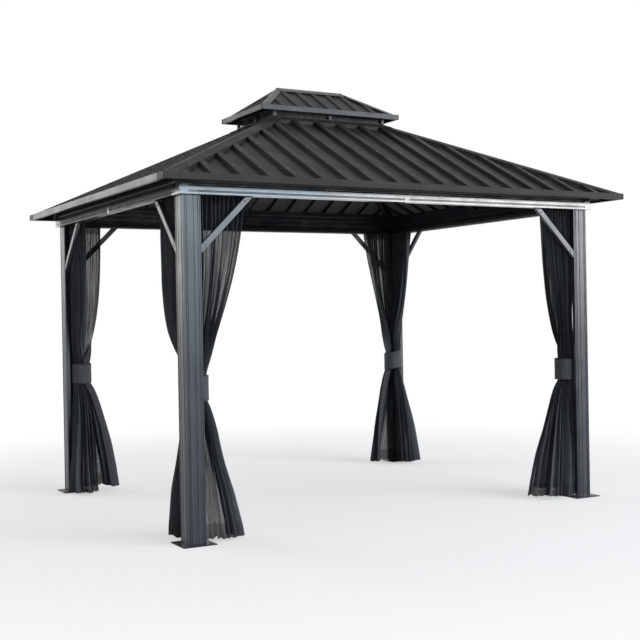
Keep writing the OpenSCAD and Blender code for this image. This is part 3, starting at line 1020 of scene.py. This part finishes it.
@dataclass
class MainRoof(HipRoof):
    """The lower roof with its hip caps, crown strips and fascias."""

    rivet_pitch: float = 0.150
    rivet_line: float = 0.75
    wing_lean: float = 1.35
    cap_wing: float = 0.060
    strip: float = 0.046
    strip_line: float = 0.65
    setback: float = 0.006
    closure_thick: float = 0.003
    fascia_clear: float = 0.008

    def dress_nodes(self, paints: Paints) -> None:
        """Gives the roof's CAD nodes their finishes."""
        for side in Side:
            paints.dress(f"roof_{side.word}", ROOF if side.is_long else SIDE_ROOF, 0.0012)
            paints.dress(f"fascia_{side.word}", FASCIA if side.is_long else SIDE_FASCIA, 0.0010)
        paints.dress("fascia_corners", FASCIA, 0.0010)
        paints.dress("hip_caps", TRIM, 0.0010)
        paints.dress("crown_flashing", TRIM, 0.0010)

    def build_rivets(self, material: bpy.types.Material) -> None:
        """Puts rivets along both wings of the hip caps and along the crown strips.

        Args:
            material: The rivets' finish.
        """
        washer, head = (0.0050, 0.0008), (0.0034, 0.0018)
        rivets = Fixings("roof_rivets", self.trim_slot, washer=washer, head=head, domed=True)
        cap = 2 * self.sheet + self.rib_high
        for side in Side:
            slope = self.slope(side)
            for step in range(1, math.floor(slope.run / self.rivet_pitch)):
                run = step * self.rivet_pitch
                for end in (-1, 1):
                    place = end * (slope.half_at(run) - self.rivet_line * self.cap_wing * self.wing_lean)
                    rivets.put(slope.point(place, run, cap), slope.normal)
            run = slope.run - self.strip * self.strip_line
            across = math.floor(slope.top_half / self.rivet_pitch)
            for step in range(-across, across + 1):
                rivets.put(slope.point(step * self.rivet_pitch, run, cap + self.sheet), slope.normal)
        rivets.build(material)

    def build_closures(self, material: bpy.types.Material) -> None:
        """Closes the gaps between the ribs under the hip caps and the crown strips.

        Args:
            material: The closures' finish.
        """
        parts = MeshParts()
        for side in Side:
            slope = self.slope(side)
            lean = (slope.eave_half - slope.top_half) / slope.run
            outer = slope.eave_half - (self.cap_wing - self.setback) * math.hypot(1.0, lean)
            crown = slope.run - self.strip + self.setback
            inner = outer - lean * crown
            lines = [((-inner, inner), (crown, 0.0))]
            for end in (-1, 1):
                reach = sorted((end * inner, end * (outer - lean * self.fascia_clear)))
                lines.append((reach, (outer / lean, -end / lean)))
            ribs = self.ribs(slope)
            ribs = [ribs[0] - self.rib_pitch, *ribs, ribs[-1] + self.rib_pitch]
            for pair in zip(ribs[:-1], ribs[1:]):
                for reach, line in lines:
                    self._close(parts, slope, pair, reach, line)
        closures = parts.to_object("rib_closures")
        face_outward(closures)
        finish_piece(closures, material)

    def _close(self, parts: MeshParts, slope: Slope, ribs: Span, reach: Sequence[float], line: Span) -> None:
        """Adds one plate between two ribs.

        Args:
            parts: The mesh that it is added to.
            slope: The slope that it stands on.
            ribs: Places of the two ribs along the eave.
            reach: The least and the greatest place that the plate may have along the eave.
            line: The plate's distance in from the eave at its middle, and how that changes along the eave.
        """
        left, right = ribs
        half = self.closure_thick / 2
        corners = [
            (left + self.rib_foot, self.sheet), (right - self.rib_foot, self.sheet),
            (right - self.rib_top / 2, self.rib_lift), (left + self.rib_top / 2, self.rib_lift),
        ]
        corners = [(min(max(along, reach[0]), reach[1]), lift) for along, lift in corners]
        if corners[1][0] - corners[0][0] < self.closure_thick:
            return
        points = [
            slope.point(along, line[0] + line[1] * along + shift, lift)
            for shift in (-half, half)
            for along, lift in corners
        ]
        faces = [(0, 1, 2, 3), (7, 6, 5, 4), (0, 4, 5, 1), (1, 5, 6, 2), (2, 6, 7, 3), (3, 7, 4, 0)]
        parts.add(points, faces)


@dataclass
class UpperRoof(HipRoof):
    """The small roof over the vent, with the vent's uprights and mesh."""

    wire: float = 0.0007
    wire_pitch: float = 0.0042
    end_gap: float = 0.006
    mesh_in: float = 0.0015

    def dress_nodes(self, paints: Paints) -> None:
        """Gives the upper roof's CAD nodes their finishes."""
        for side in Side:
            paints.dress(f"upper_roof_{side.word}", UPPER if side.is_long else SIDE_UPPER, 0.0014)
        for node in ("upper_hip_caps", "upper_ridge_cap", "upper_fascia", "vent_uprights"):
            paints.dress(node, UPPER_TRIM, 0.0010)
        paints.dress("upper_ring", INNER, 0.0010)

    def build_mesh(self, material: bpy.types.Material) -> None:
        """Weaves the insect mesh of the vent from square wires.

        Args:
            material: The wires' finish.
        """
        low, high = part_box("vent_screens")
        parts = MeshParts()
        half = self.wire / 2
        for side in Side:
            main, cross = side.axes
            outer = abs(high[cross]) - self.mesh_in
            inner = outer - self.wire
            reach = high[main] - self.end_gap
            count = round(2 * reach / self.wire_pitch)
            for i in range(count + 1):
                along = -reach + 2 * reach * i / count
                span = (along - half, along + half)
                self._add_wire(parts, side, span, (outer - half, outer + half), (low.z, high.z))
            rows = round((high.z - low.z) / self.wire_pitch)
            for i in range(rows + 1):
                z = low.z + half + (high.z - low.z - self.wire) * i / rows
                depth = (inner - half, inner + half)
                self._add_wire(parts, side, (-reach, reach), depth, (z - half, z + half))
        mesh = parts.to_object("vent_mesh")
        finish_piece(mesh, material)
        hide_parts("vent_screens")

    @staticmethod
    def _add_wire(parts: MeshParts, side: Side, along: Span, depth: Span, height: Span) -> None:
        """Adds one wire as a thin bar, from its extents along the side, outward and upward."""
        outward = sorted(side.sign * value for value in depth)
        x, y = (along, outward) if side.is_long else (outward, along)
        parts.add_box(*zip(x, y, height))


# ---- Nets ---------------------------------------------------------------------


def smooth_noise(
    rng: np.random.Generator, across: np.ndarray, down: np.ndarray, cells: tuple[int, int]
) -> np.ndarray:
    """Smooth random values over a cloth.

    Args:
        rng: The random source.
        across: Places across the cloth, from 0 to 1.
        down: Places down the cloth, from 0 to 1.
        cells: How many cells the values change over, across and down.

    Returns:
        Values from -1 to 1, one row for each place down.
    """
    gain = 1.6
    grid = rng.uniform(-1.0, 1.0, (cells[1] + 3, cells[0] + 3))

    def weights(places: np.ndarray, count: int) -> Plan:
        """The cell that each place is in, and the shares of the four grid values round it."""
        spots = np.clip(places, 0.0, 1.0) * count
        cell = np.minimum(spots.astype(int), count - 1)
        t = spots - cell
        table = np.stack([(1 - t) ** 3, 3 * t**3 - 6 * t**2 + 4, -3 * t**3 + 3 * t**2 + 3 * t + 1, t**3]) / 6
        return cell, table

    column, wide = weights(across, cells[0])
    row, tall = weights(down, cells[1])
    total = np.zeros((len(down), len(across)))
    for j in range(4):
        for i in range(4):
            total += tall[j][:, None] * wide[i][None, :] * grid[(row + j)[:, None], (column + i)[None, :]]
    return total * gain


def ease(values: np.ndarray) -> np.ndarray:
    """A smooth step from 0 to 1."""
    t = np.clip(values, 0.0, 1.0)
    return t * t * (3.0 - 2.0 * t)


def woven(name: str, x: np.ndarray, y: np.ndarray, z: np.ndarray, size: Span) -> bpy.types.Object:
    """Makes a smooth mesh of a cloth's rows, with a map of the flat cloth in metres.

    Args:
        name: The piece's name.
        x: Places in X, a row of them for each row of the cloth.
        y: The same in Y.
        z: The same in Z.
        size: The flat cloth's width and length.

    Returns:
        The new object.
    """
    points = np.stack([x, y, z], axis=-1)
    tall, wide = points.shape[:2]
    faces = [
        (r * wide + c, r * wide + c + 1, (r + 1) * wide + c + 1, (r + 1) * wide + c)
        for r in range(tall - 1)
        for c in range(wide - 1)
    ]
    cloth = MeshParts(points.reshape(-1, 3).tolist(), faces).to_object(name, smooth=True)
    grid = np.meshgrid(np.linspace(0.0, 1.0, wide) * size[0], np.linspace(0.0, 1.0, tall) * size[1])
    flat = np.stack(grid, axis=-1).reshape(-1, 2)
    layer = cloth.data.uv_layers.new(name="cloth")
    corners = np.zeros(len(cloth.data.loops), np.int32)
    cloth.data.loops.foreach_get("vertex_index", corners)
    layer.data.foreach_set("uv", flat[corners].astype(np.float32).ravel())
    return cloth


@dataclass(frozen=True)
class Drape:
    """How one net hangs.

    The reaches say how far it is drawn out along its long and its short rail, the droops how late each of
    these edges is pulled in, and the kick how far the edges stand out at the hem. The tilt and its direction
    are the strap's.
    """

    reach_long: float
    reach_side: float
    droop_long: float
    droop_side: float
    edge_kick: float
    tilt: float
    tilt_turn: float


DRAPES = {
    Corner.FRONT_LEFT: Drape(0.434, 0.462, 1.75, 5.0, 0.05, tilt=0.004, tilt_turn=2.0),
    Corner.FRONT_RIGHT: Drape(0.365, 0.420, 1.3, 3.0, 0.14, tilt=0.003, tilt_turn=0.5),
    Corner.BACK_LEFT: Drape(0.315, 0.400, 3.0, 3.0, 0.03, tilt=0.005, tilt_turn=1.2),
    Corner.BACK_RIGHT: Drape(0.370, 0.360, 1.3, 2.2, 0.02, tilt=0.014, tilt_turn=-0.45),
}


@dataclass
class Net:
    """One corner's netting, pleated along its rails and gathered by a strap.

    Distances in plan are from the post's outer corner, towards the middle. An array of depths has one value
    for each row of the cloth, and a pair of plan arrays has X and Y for each row and column.
    """

    corner: Corner
    seed: int
    drape: Drape
    flat_width: float = 2.90
    flat_length: float = 2.13
    rail_gap: float = 0.0006
    line: float = 0.066
    bend: float = 0.035
    waist_off: float = 0.120
    waist_radius: float = 0.0735
    waist_high: float = 1.040
    waist_low: float = 0.870
    hem_off: float = 0.208
    hem_radius: float = 0.180
    hem_height: float = 0.016
    hem_flare: float = 0.65
    hem_square: float = 3.0
    hem_swell: float = 0.048
    swell_fade: float = 0.12
    pleats: int = 24
    columns: int = 384
    rows: int = 96
    start_turn: float = 8.0
    full_turn: float = 286.0
    post_clear: float = 0.031
    post_reach: float = 0.130
    post_fade: float = 0.05
    least_depth: float = 0.002
    rail_depth: float = 0.036
    wing_depth: float = 0.012
    skirt_depth: float = 0.034
    halvings: int = 12

    def __post_init__(self) -> None:
        """Reads the corner's place from the frame, and lays out the cloth's columns and rows."""
        self.origin = self.corner.post_corner
        self.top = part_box(f"net_{self.corner.word}")[1].z - self.rail_gap
        self.across = np.linspace(0.0, 1.0, self.columns + 1)
        self.down = np.linspace(0.0, 1.0, self.rows + 1)
        self.height = self.top + (self.hem_height - self.top) * self.down
        self.to_waist = np.clip((self.top - self.height) / (self.top - self.waist_high), 0.0, 1.0)
        self.below = np.clip((self.waist_low - self.height) / (self.waist_low - self.hem_height), 0.0, 1.0)

    def to_world(self, x: np.ndarray, y: np.ndarray) -> Plan:
        """Turns distances from the post's outer corner into places in the frame."""
        sign_x, sign_y = self.corner.value
        return self.origin[0] - sign_x * x, self.origin[1] - sign_y * y

    def rail_line(self, across: np.ndarray) -> Plan:
        """The net's middle line under the rails, which turns the corner in a small arc.

        Args:
            across: Places across the cloth, from 0 to 1.

        Returns:
            Distances from the post's outer corner, in X and in Y.
        """
        first = self.drape.reach_long - self.line - self.bend
        arc = self.bend * math.pi / 2
        second = self.drape.reach_side - self.line - self.bend
        way = across * (first + arc + second)
        turn = np.clip((way - first) / self.bend, 0.0, math.pi / 2)
        x = self.line + self.bend * (1 - np.sin(turn)) + np.clip(first - way, 0.0, None)
        y = self.line + self.bend * (1 - np.cos(turn)) + np.clip(way - first - arc, 0.0, None)
        return x, y

    def gathered_line(self, depth: np.ndarray) -> Plan:
        """The gathered net's middle line, round the side that faces the post and squarer towards the hem."""
        flare = self.below**self.hem_flare
        outer = self.waist_radius + (self.hem_radius - self.waist_radius) * flare
        middle = (self.waist_off + (self.hem_off - self.waist_off) * flare)[:, None]
        inset = 1.0 - 0.4 * ease(self.below * 1.5)
        radius = np.maximum(outer - inset * depth, 0.2 * outer)
        turn = np.radians(self.start_turn - self.full_turn * self.across)[None, :]
        square = (2.0 + self.hem_square * self.below)[:, None]
        wide = (np.abs(np.cos(turn)) ** square + np.abs(np.sin(turn)) ** square) ** (-1 / square)
        reach = radius[:, None] * wide
        return middle + reach * np.cos(turn), middle + reach * np.sin(turn)

    def middle_lines(self, depth: np.ndarray) -> Plan:
        """The line that the folds swing about, for each row from the rails to the hem.

        Args:
            depth: The folds' depth in each row.

        Returns:
            Distances from the post's outer corner, in X and in Y.
        """
        drape = self.drape
        rail_x, rail_y = self.rail_line(self.across)
        arc_x, arc_y = self.gathered_line(depth)
        power = drape.droop_long + (drape.droop_side - drape.droop_long) * ease(self.across * 1.3 - 0.15)
        share = self.to_waist[:, None] ** power[None, :]
        x, y = rail_x + (arc_x - rail_x) * share, rail_y + (arc_y - rail_y) * share
        swell = self.hem_swell * ease(self.below)[:, None]
        kick = drape.edge_kick * ease(self.below)[:, None]
        x = x + kick * ease(1 - 9 * self.across)
        y = y + kick * ease(1 - 9 * (1 - self.across))
        in_x = swell * ease((y - self.post_reach) / self.swell_fade)
        in_y = swell * ease((x - self.post_reach) / self.swell_fade)
        return x - in_x, y - in_y

    def folds(self, rng: np.random.Generator) -> np.ndarray:
        """The folds' shape, from -1 to 1: narrow pleats at the rails that run together lower down.

        Args:
            rng: The random source.

        Returns:
            One value for each row and column.
        """
        warp = smooth_noise(rng, self.across, np.zeros(1), (11, 1))[0] * 2.2
        phase = (2 * math.pi * self.pleats * self.across + warp)[None, :]
        wander = smooth_noise(rng, self.across, self.down, (8, 6)) * 0.8
        narrow = np.sin(phase + wander)
        wide = np.sin(phase * 0.37 + wander * 1.4 + rng.uniform(0, 6))
        loose = smooth_noise(rng, self.across, self.down, (17, 4))
        hanging = 0.62 * np.sin(math.pi * np.clip(self.to_waist * 1.05, 0.0, 1.0)) ** 0.7
        share = (hanging + 0.62 * ease(self.below * 2.2))[:, None]
        mixed = narrow * (1 - 0.62 * share) + (0.65 * wide + 0.8 * loose) * share
        mixed *= 1 + 0.22 * smooth_noise(rng, self.across, self.down, (14, 5))
        return mixed / np.abs(mixed).max(axis=1)[:, None]

    def folded(self, folds: np.ndarray, depth: np.ndarray) -> Plan:
        """The cloth's plan shape in every row for the given depths of its folds."""
        x, y = self.middle_lines(depth)
        slope_x, slope_y = np.gradient(x, axis=1), np.gradient(y, axis=1)
        long = np.hypot(slope_x, slope_y) + 1e-9
        swing = folds * depth[:, None]
        return x - slope_y / long * swing, y + slope_x / long * swing

    def clear_of_post(self, x: np.ndarray, y: np.ndarray) -> Plan:
        """Keeps the cloth off the post's two flanges."""
        least_x = self.post_clear - 2 * self.hem_swell * ease((y - self.post_reach) / self.post_fade)
        least_y = self.post_clear - 2 * self.hem_swell * ease((x - self.post_reach) / self.post_fade)
        return np.maximum(x, least_x), np.maximum(y, least_y)

    def build(self, material: bpy.types.Material) -> bpy.types.Object:
        """Builds the cloth, with as much of its width in every row as the deepest folds allow.

        Args:
            material: The netting.

        Returns:
            The new piece, which replaces the corner's net node.
        """
        rng = np.random.default_rng(self.seed)
        folds = self.folds(rng)
        wings = ease(self.to_waist * 4.0) * ease((1 - self.to_waist) * 4.0)
        most = self.rail_depth + self.wing_depth * wings + self.skirt_depth * ease(self.below * 1.5)
        low, high = np.full(len(self.down), self.least_depth), most
        for _ in range(self.halvings):
            depth = (low + high) / 2
            x, y = self.folded(folds, depth)
            narrow = np.hypot(np.diff(x, axis=1), np.diff(y, axis=1)).sum(axis=1) < self.flat_width
            low, high = np.where(narrow, depth, low), np.where(narrow, high, depth)
        x, y = self.clear_of_post(x, y)
        lift = np.abs(smooth_noise(rng, self.across, self.down, (9, 2))) * 0.012 + np.abs(folds) * 0.006
        z = self.height[:, None] + lift * (self.below[:, None] ** 6)
        size = (self.flat_width, self.flat_length)
        cloth = woven(f"netting_{self.corner.word}", *self.to_world(x, y), z, size)
        finish_piece(cloth, material)
        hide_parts(f"net_{self.corner.word}")
        return cloth


@dataclass
class Strap:
    """The woven strap that ties one net back, with its end lapped over itself."""

    corner: Corner
    seed: int
    drape: Drape
    radius: float = 0.0762
    thick: float = 0.0022
    lap_gap: float = 0.0006
    middle_height: float = 0.955
    tall: float = 0.155
    off: float = 0.120
    lap: float = 0.35
    lap_start: float = 200.0
    columns: int = 120
    rows: int = 14

    @property
    def flat_length(self) -> float:
        """The strap's length before it is tied."""
        return (2 * math.pi + self.lap) * self.radius

    def build(self, material: bpy.types.Material) -> bpy.types.Object:
        """Builds the strap.

        Args:
            material: The webbing.

        Returns:
            The new piece.
        """
        rng = np.random.default_rng(self.seed)
        post_x, post_y = self.corner.post_corner
        sign_x, sign_y = self.corner.value
        middle_x, middle_y = post_x - sign_x * self.off, post_y - sign_y * self.off
        way = np.linspace(0.0, 1.0, self.columns + 1)
        up = np.linspace(0.0, 1.0, self.rows + 1)
        full = 2 * math.pi + self.lap
        turn = math.radians(self.lap_start) + full * way
        over = ease((way * full - (2 * math.pi - 0.25)) / 0.3) * (self.thick + self.lap_gap)
        bulge = smooth_noise(rng, way, up, (10, 3)) * 0.0005
        radius = self.radius + over[None, :] + bulge
        waver = smooth_noise(rng, way, np.zeros(1), (9, 1))[0] * 0.0018
        slant = self.drape.tilt * np.cos(turn - self.drape.tilt_turn) + waver
        z = self.middle_height + (up[:, None] - 0.5) * self.tall + slant[None, :]
        x, y = middle_x + radius * np.cos(turn)[None, :], middle_y + radius * np.sin(turn)[None, :]
        band = woven(f"tie_strap_{self.corner.word}", x, y, z, (self.flat_length, self.tall))
        shell = band.modifiers.new("thickness", "SOLIDIFY")
        shell.thickness = self.thick
        shell.offset = 0.0
        finish_piece(band, material)
        return band


@dataclass
class Nets:
    """The four nets with their straps and gliders."""

    first_net_seed: int = 11
    net_seed_step: int = 7
    first_strap_seed: int = 40
    gliders_per_net: int = 22
    glider_radius: float = 0.0032
    glider_high: float = 0.009
    glider_sides: int = 8

    def build(self, effects: Effects, paints: Paints) -> None:
        """Args:
            effects: The shared effects.
            paints: The finishes.
        """
        gliders = MeshParts()
        nets = [Net(c, self.first_net_seed + self.net_seed_step * i, DRAPES[c]) for i, c in enumerate(Corner)]
        straps = [Strap(c, self.first_strap_seed + i, DRAPES[c]) for i, c in enumerate(Corner)]
        netting = Netting().make(effects, nets[0].flat_width, nets[0].flat_length)
        webbing = Webbing().make(effects, straps[0].tall)
        for net, strap in zip(nets, straps):
            cloth = net.build(netting)
            band = strap.build(webbing)
            self.add_gliders(gliders, net)
        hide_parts("tie_straps")
        finish_piece(gliders.to_object("net_gliders"), paints.get(NYLON))

    def add_gliders(self, parts: MeshParts, net: Net) -> None:
        """Adds the gliders that carry one net in its rails."""
        across = (np.arange(self.gliders_per_net) + 0.5) / self.gliders_per_net
        x, y = net.to_world(*net.rail_line(across))
        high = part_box("curtain_rails")[0].z
        rings = [
            (self.glider_radius * 0.6, -self.glider_high), (self.glider_radius, -self.glider_high * 0.75),
            (self.glider_radius, -self.glider_high * 0.25), (self.glider_radius * 0.7, -0.0001),
        ]
        shape = stacked_rings(rings, self.glider_sides)
        for spot in zip(x.tolist(), y.tolist()):
            parts.add(*shape, Matrix.Translation((*spot, high)))


# ---- Studio -------------------------------------------------------------------


@dataclass(frozen=True)
class Panel:
    """A soft light panel that the camera doesn't see, placed round the gazebo."""

    name: str
    azimuth: Span
    elevation: Span
    radiance: float
    colour: Rgb
    distance: float = 20.0

    def across(self, span: Span) -> float:
        """The panel's size over a span of angles."""
        return 2 * self.distance * math.tan(math.radians(span[1] - span[0]) / 2)

    def build(self, middle: Vector) -> None:
        """Hangs the panel so that it faces a point."""
        turn = math.radians(sum(self.azimuth) / 2)
        climb = math.radians(sum(self.elevation) / 2)
        away = Vector((math.sin(turn) * math.cos(climb), -math.cos(turn) * math.cos(climb), math.sin(climb)))
        light = bpy.data.lights.new(self.name, "AREA")
        light.shape = "RECTANGLE"
        light.size = self.across(self.azimuth)
        light.size_y = self.across(self.elevation)
        light.energy = self.radiance * math.pi * light.size * light.size_y
        light.color = self.colour
        panel = bpy.data.objects.new(self.name, light)
        bpy.context.scene.collection.objects.link(panel)
        panel.location = middle + away * self.distance
        panel.rotation_euler = away.to_track_quat("Z", "Y").to_euler()
        panel.visible_camera = False


@dataclass
class Studio:
    """Floor, world, lights and camera."""

    middle: Rgb = (0.0, 0.0, 1.6)
    floor_size: float = 60.0
    floor_tone: Rgb = (0.96, 0.96, 0.96)
    floor_unseen: Rgb = (0.30, 0.30, 0.30)
    floor_glow: float = 0.5
    floor_fade: Span = (2.5, 6.0)
    ambient: float = 0.50
    ambient_tone: Rgb = (0.95, 0.98, 1.0)
    camera_place: Rgb = (-4.162, -7.585, 1.395)
    yaw: float = 29.09
    pitch: float = -0.29
    roll: float = -1.03
    lens: float = 62.32
    sensor: float = 36.0
    far_clip: float = 200.0
    panels: tuple[Panel, ...] = (
        Panel("key_panel", (28.0, 54.0), (1.0, 22.0), 11.0, (0.99, 1.0, 0.985)),
        Panel("cool_panel", (2.0, 27.0), (1.5, 27.0), 6.5, (0.68, 0.85, 1.0)),
        Panel("left_panel", (200.0, 232.0), (0.5, 28.0), 3.0, (0.96, 1.0, 0.97)),
    )

    def build(self) -> None:
        """Builds the whole studio."""
        self.add_floor()
        self.add_world()
        for panel in self.panels:
            panel.build(Vector(self.middle))
        self.add_camera()

    def add_floor(self) -> None:
        """Lays a pale floor that keeps the shadow and fades to white far out."""
        half = self.floor_size / 2
        parts = MeshParts()
        parts.add([(-half, -half, 0), (half, -half, 0), (half, half, 0), (-half, half, 0)], [(0, 1, 2, 3)])
        floor = parts.to_object("studio_floor")
        material = bpy.data.materials.new("studio_floor")
        write = empty_tree(material)
        place = write.add("ShaderNodeTexCoord").outputs["Object"]
        away = write.add("ShaderNodeVectorMath", {0: place}, operation="LENGTH").outputs["Value"]
        lit = write.add("ShaderNodeBsdfDiffuse", {"Color": rgba(self.floor_tone)}).outputs[0]
        grey = write.add("ShaderNodeBsdfDiffuse", {"Color": rgba(self.floor_unseen)}).outputs[0]
        white = write.add("ShaderNodeEmission", {"Color": rgba(WHITE), "Strength": 1.0}).outputs[0]
        pale = write.add("ShaderNodeMixShader", {0: self.floor_glow, 1: lit, 2: white}).outputs[0]
        fade = write.fade(away, *self.floor_fade)
        near = write.add("ShaderNodeMixShader", {0: fade, 1: pale, 2: white}).outputs[0]
        both = write.add("ShaderNodeMixShader", {0: write.seen_directly(), 1: grey, 2: near}).outputs[0]
        write.add("ShaderNodeOutputMaterial", {"Surface": both})
        floor.data.materials.append(material)

    def add_world(self) -> None:
        """Makes a world that is white where it is seen and softer where it lights."""
        world = bpy.data.worlds.new("studio_world")
        bpy.context.scene.world = world
        write = empty_tree(world)
        soft = write.add("ShaderNodeBackground", {"Color": rgba(self.ambient_tone), "Strength": self.ambient})
        white = write.add("ShaderNodeBackground", {"Color": rgba(WHITE), "Strength": 1.0})
        shaders = {0: write.seen_directly(), 1: soft.outputs[0], 2: white.outputs[0]}
        both = write.add("ShaderNodeMixShader", shaders).outputs[0]
        write.add("ShaderNodeOutputWorld", {"Surface": both})

    def add_camera(self) -> None:
        """Sets the camera up in front of the left corner."""
        yaw, pitch, roll = (math.radians(v) for v in (self.yaw, self.pitch, self.roll))
        forward = Vector((math.sin(yaw) * math.cos(pitch), math.cos(yaw) * math.cos(pitch), math.sin(pitch)))
        right = Vector((math.cos(yaw), -math.sin(yaw), 0.0))
        up = right.cross(forward)
        across = right * math.cos(roll) + up * math.sin(roll)
        upward = up * math.cos(roll) - right * math.sin(roll)
        data = bpy.data.cameras.new("camera")
        data.lens = self.lens
        data.sensor_width = self.sensor
        data.clip_end = self.far_clip
        camera = bpy.data.objects.new("camera", data)
        bpy.context.scene.collection.objects.link(camera)
        turn = Matrix((across, upward, -forward)).transposed().to_4x4()
        camera.matrix_world = Matrix.Translation(self.camera_place) @ turn
        bpy.context.scene.camera = camera


# ---- The whole gazebo -----------------------------------------------------------

MAIN_ROOF = MainRoof(
    "roof", half_x=1.810, half_y=1.510, top_x=0.478, top_y=0.320, eave_z=2.210, rise=0.609, rib_pitch=0.190,
    rib_high=0.028, rib_top=0.044, sheet=0.003, rib_shift=0.050, screw_runs=(0.16, 0.595), screw_shift=-0.010,
    trim_slot=Slot.ROOF_TRIM,
)
UPPER_ROOF = UpperRoof(
    "upper_roof", half_x=0.589, half_y=0.364, top_x=0.275, top_y=0.0, eave_z=2.901, rise=0.220,
    rib_pitch=0.130, rib_high=0.014, rib_top=0.040, sheet=0.003, rib_shift=0.0,
    screw_runs=(0.060,), screw_shift=-0.008,
    trim_slot=Slot.UPPER_TRIM,
)


def main() -> None:
    """Builds the gazebo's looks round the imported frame."""
    bpy.context.scene.view_settings.view_transform = "Standard"
    Studio().build()
    effects = Effects()
    paints = Paints(effects)
    gazebo = Frame()
    gazebo.dress_nodes(paints)
    gazebo.build_splices(paints)
    gazebo.build_fixings(paints)
    MAIN_ROOF.dress_nodes(paints)
    MAIN_ROOF.build_screws(paints.get(ZINC), margin=0.11, scale=0.85)
    MAIN_ROOF.build_rivets(paints.get(ZINC))
    MAIN_ROOF.build_closures(paints.get(INNER))
    UPPER_ROOF.dress_nodes(paints)
    UPPER_ROOF.build_screws(paints.get(ZINC), margin=0.06, scale=0.6)
    UPPER_ROOF.build_mesh(paints.get(WIRE))
    Nets().build(effects, paints)
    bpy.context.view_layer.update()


if __name__ == "__main__":
    main()
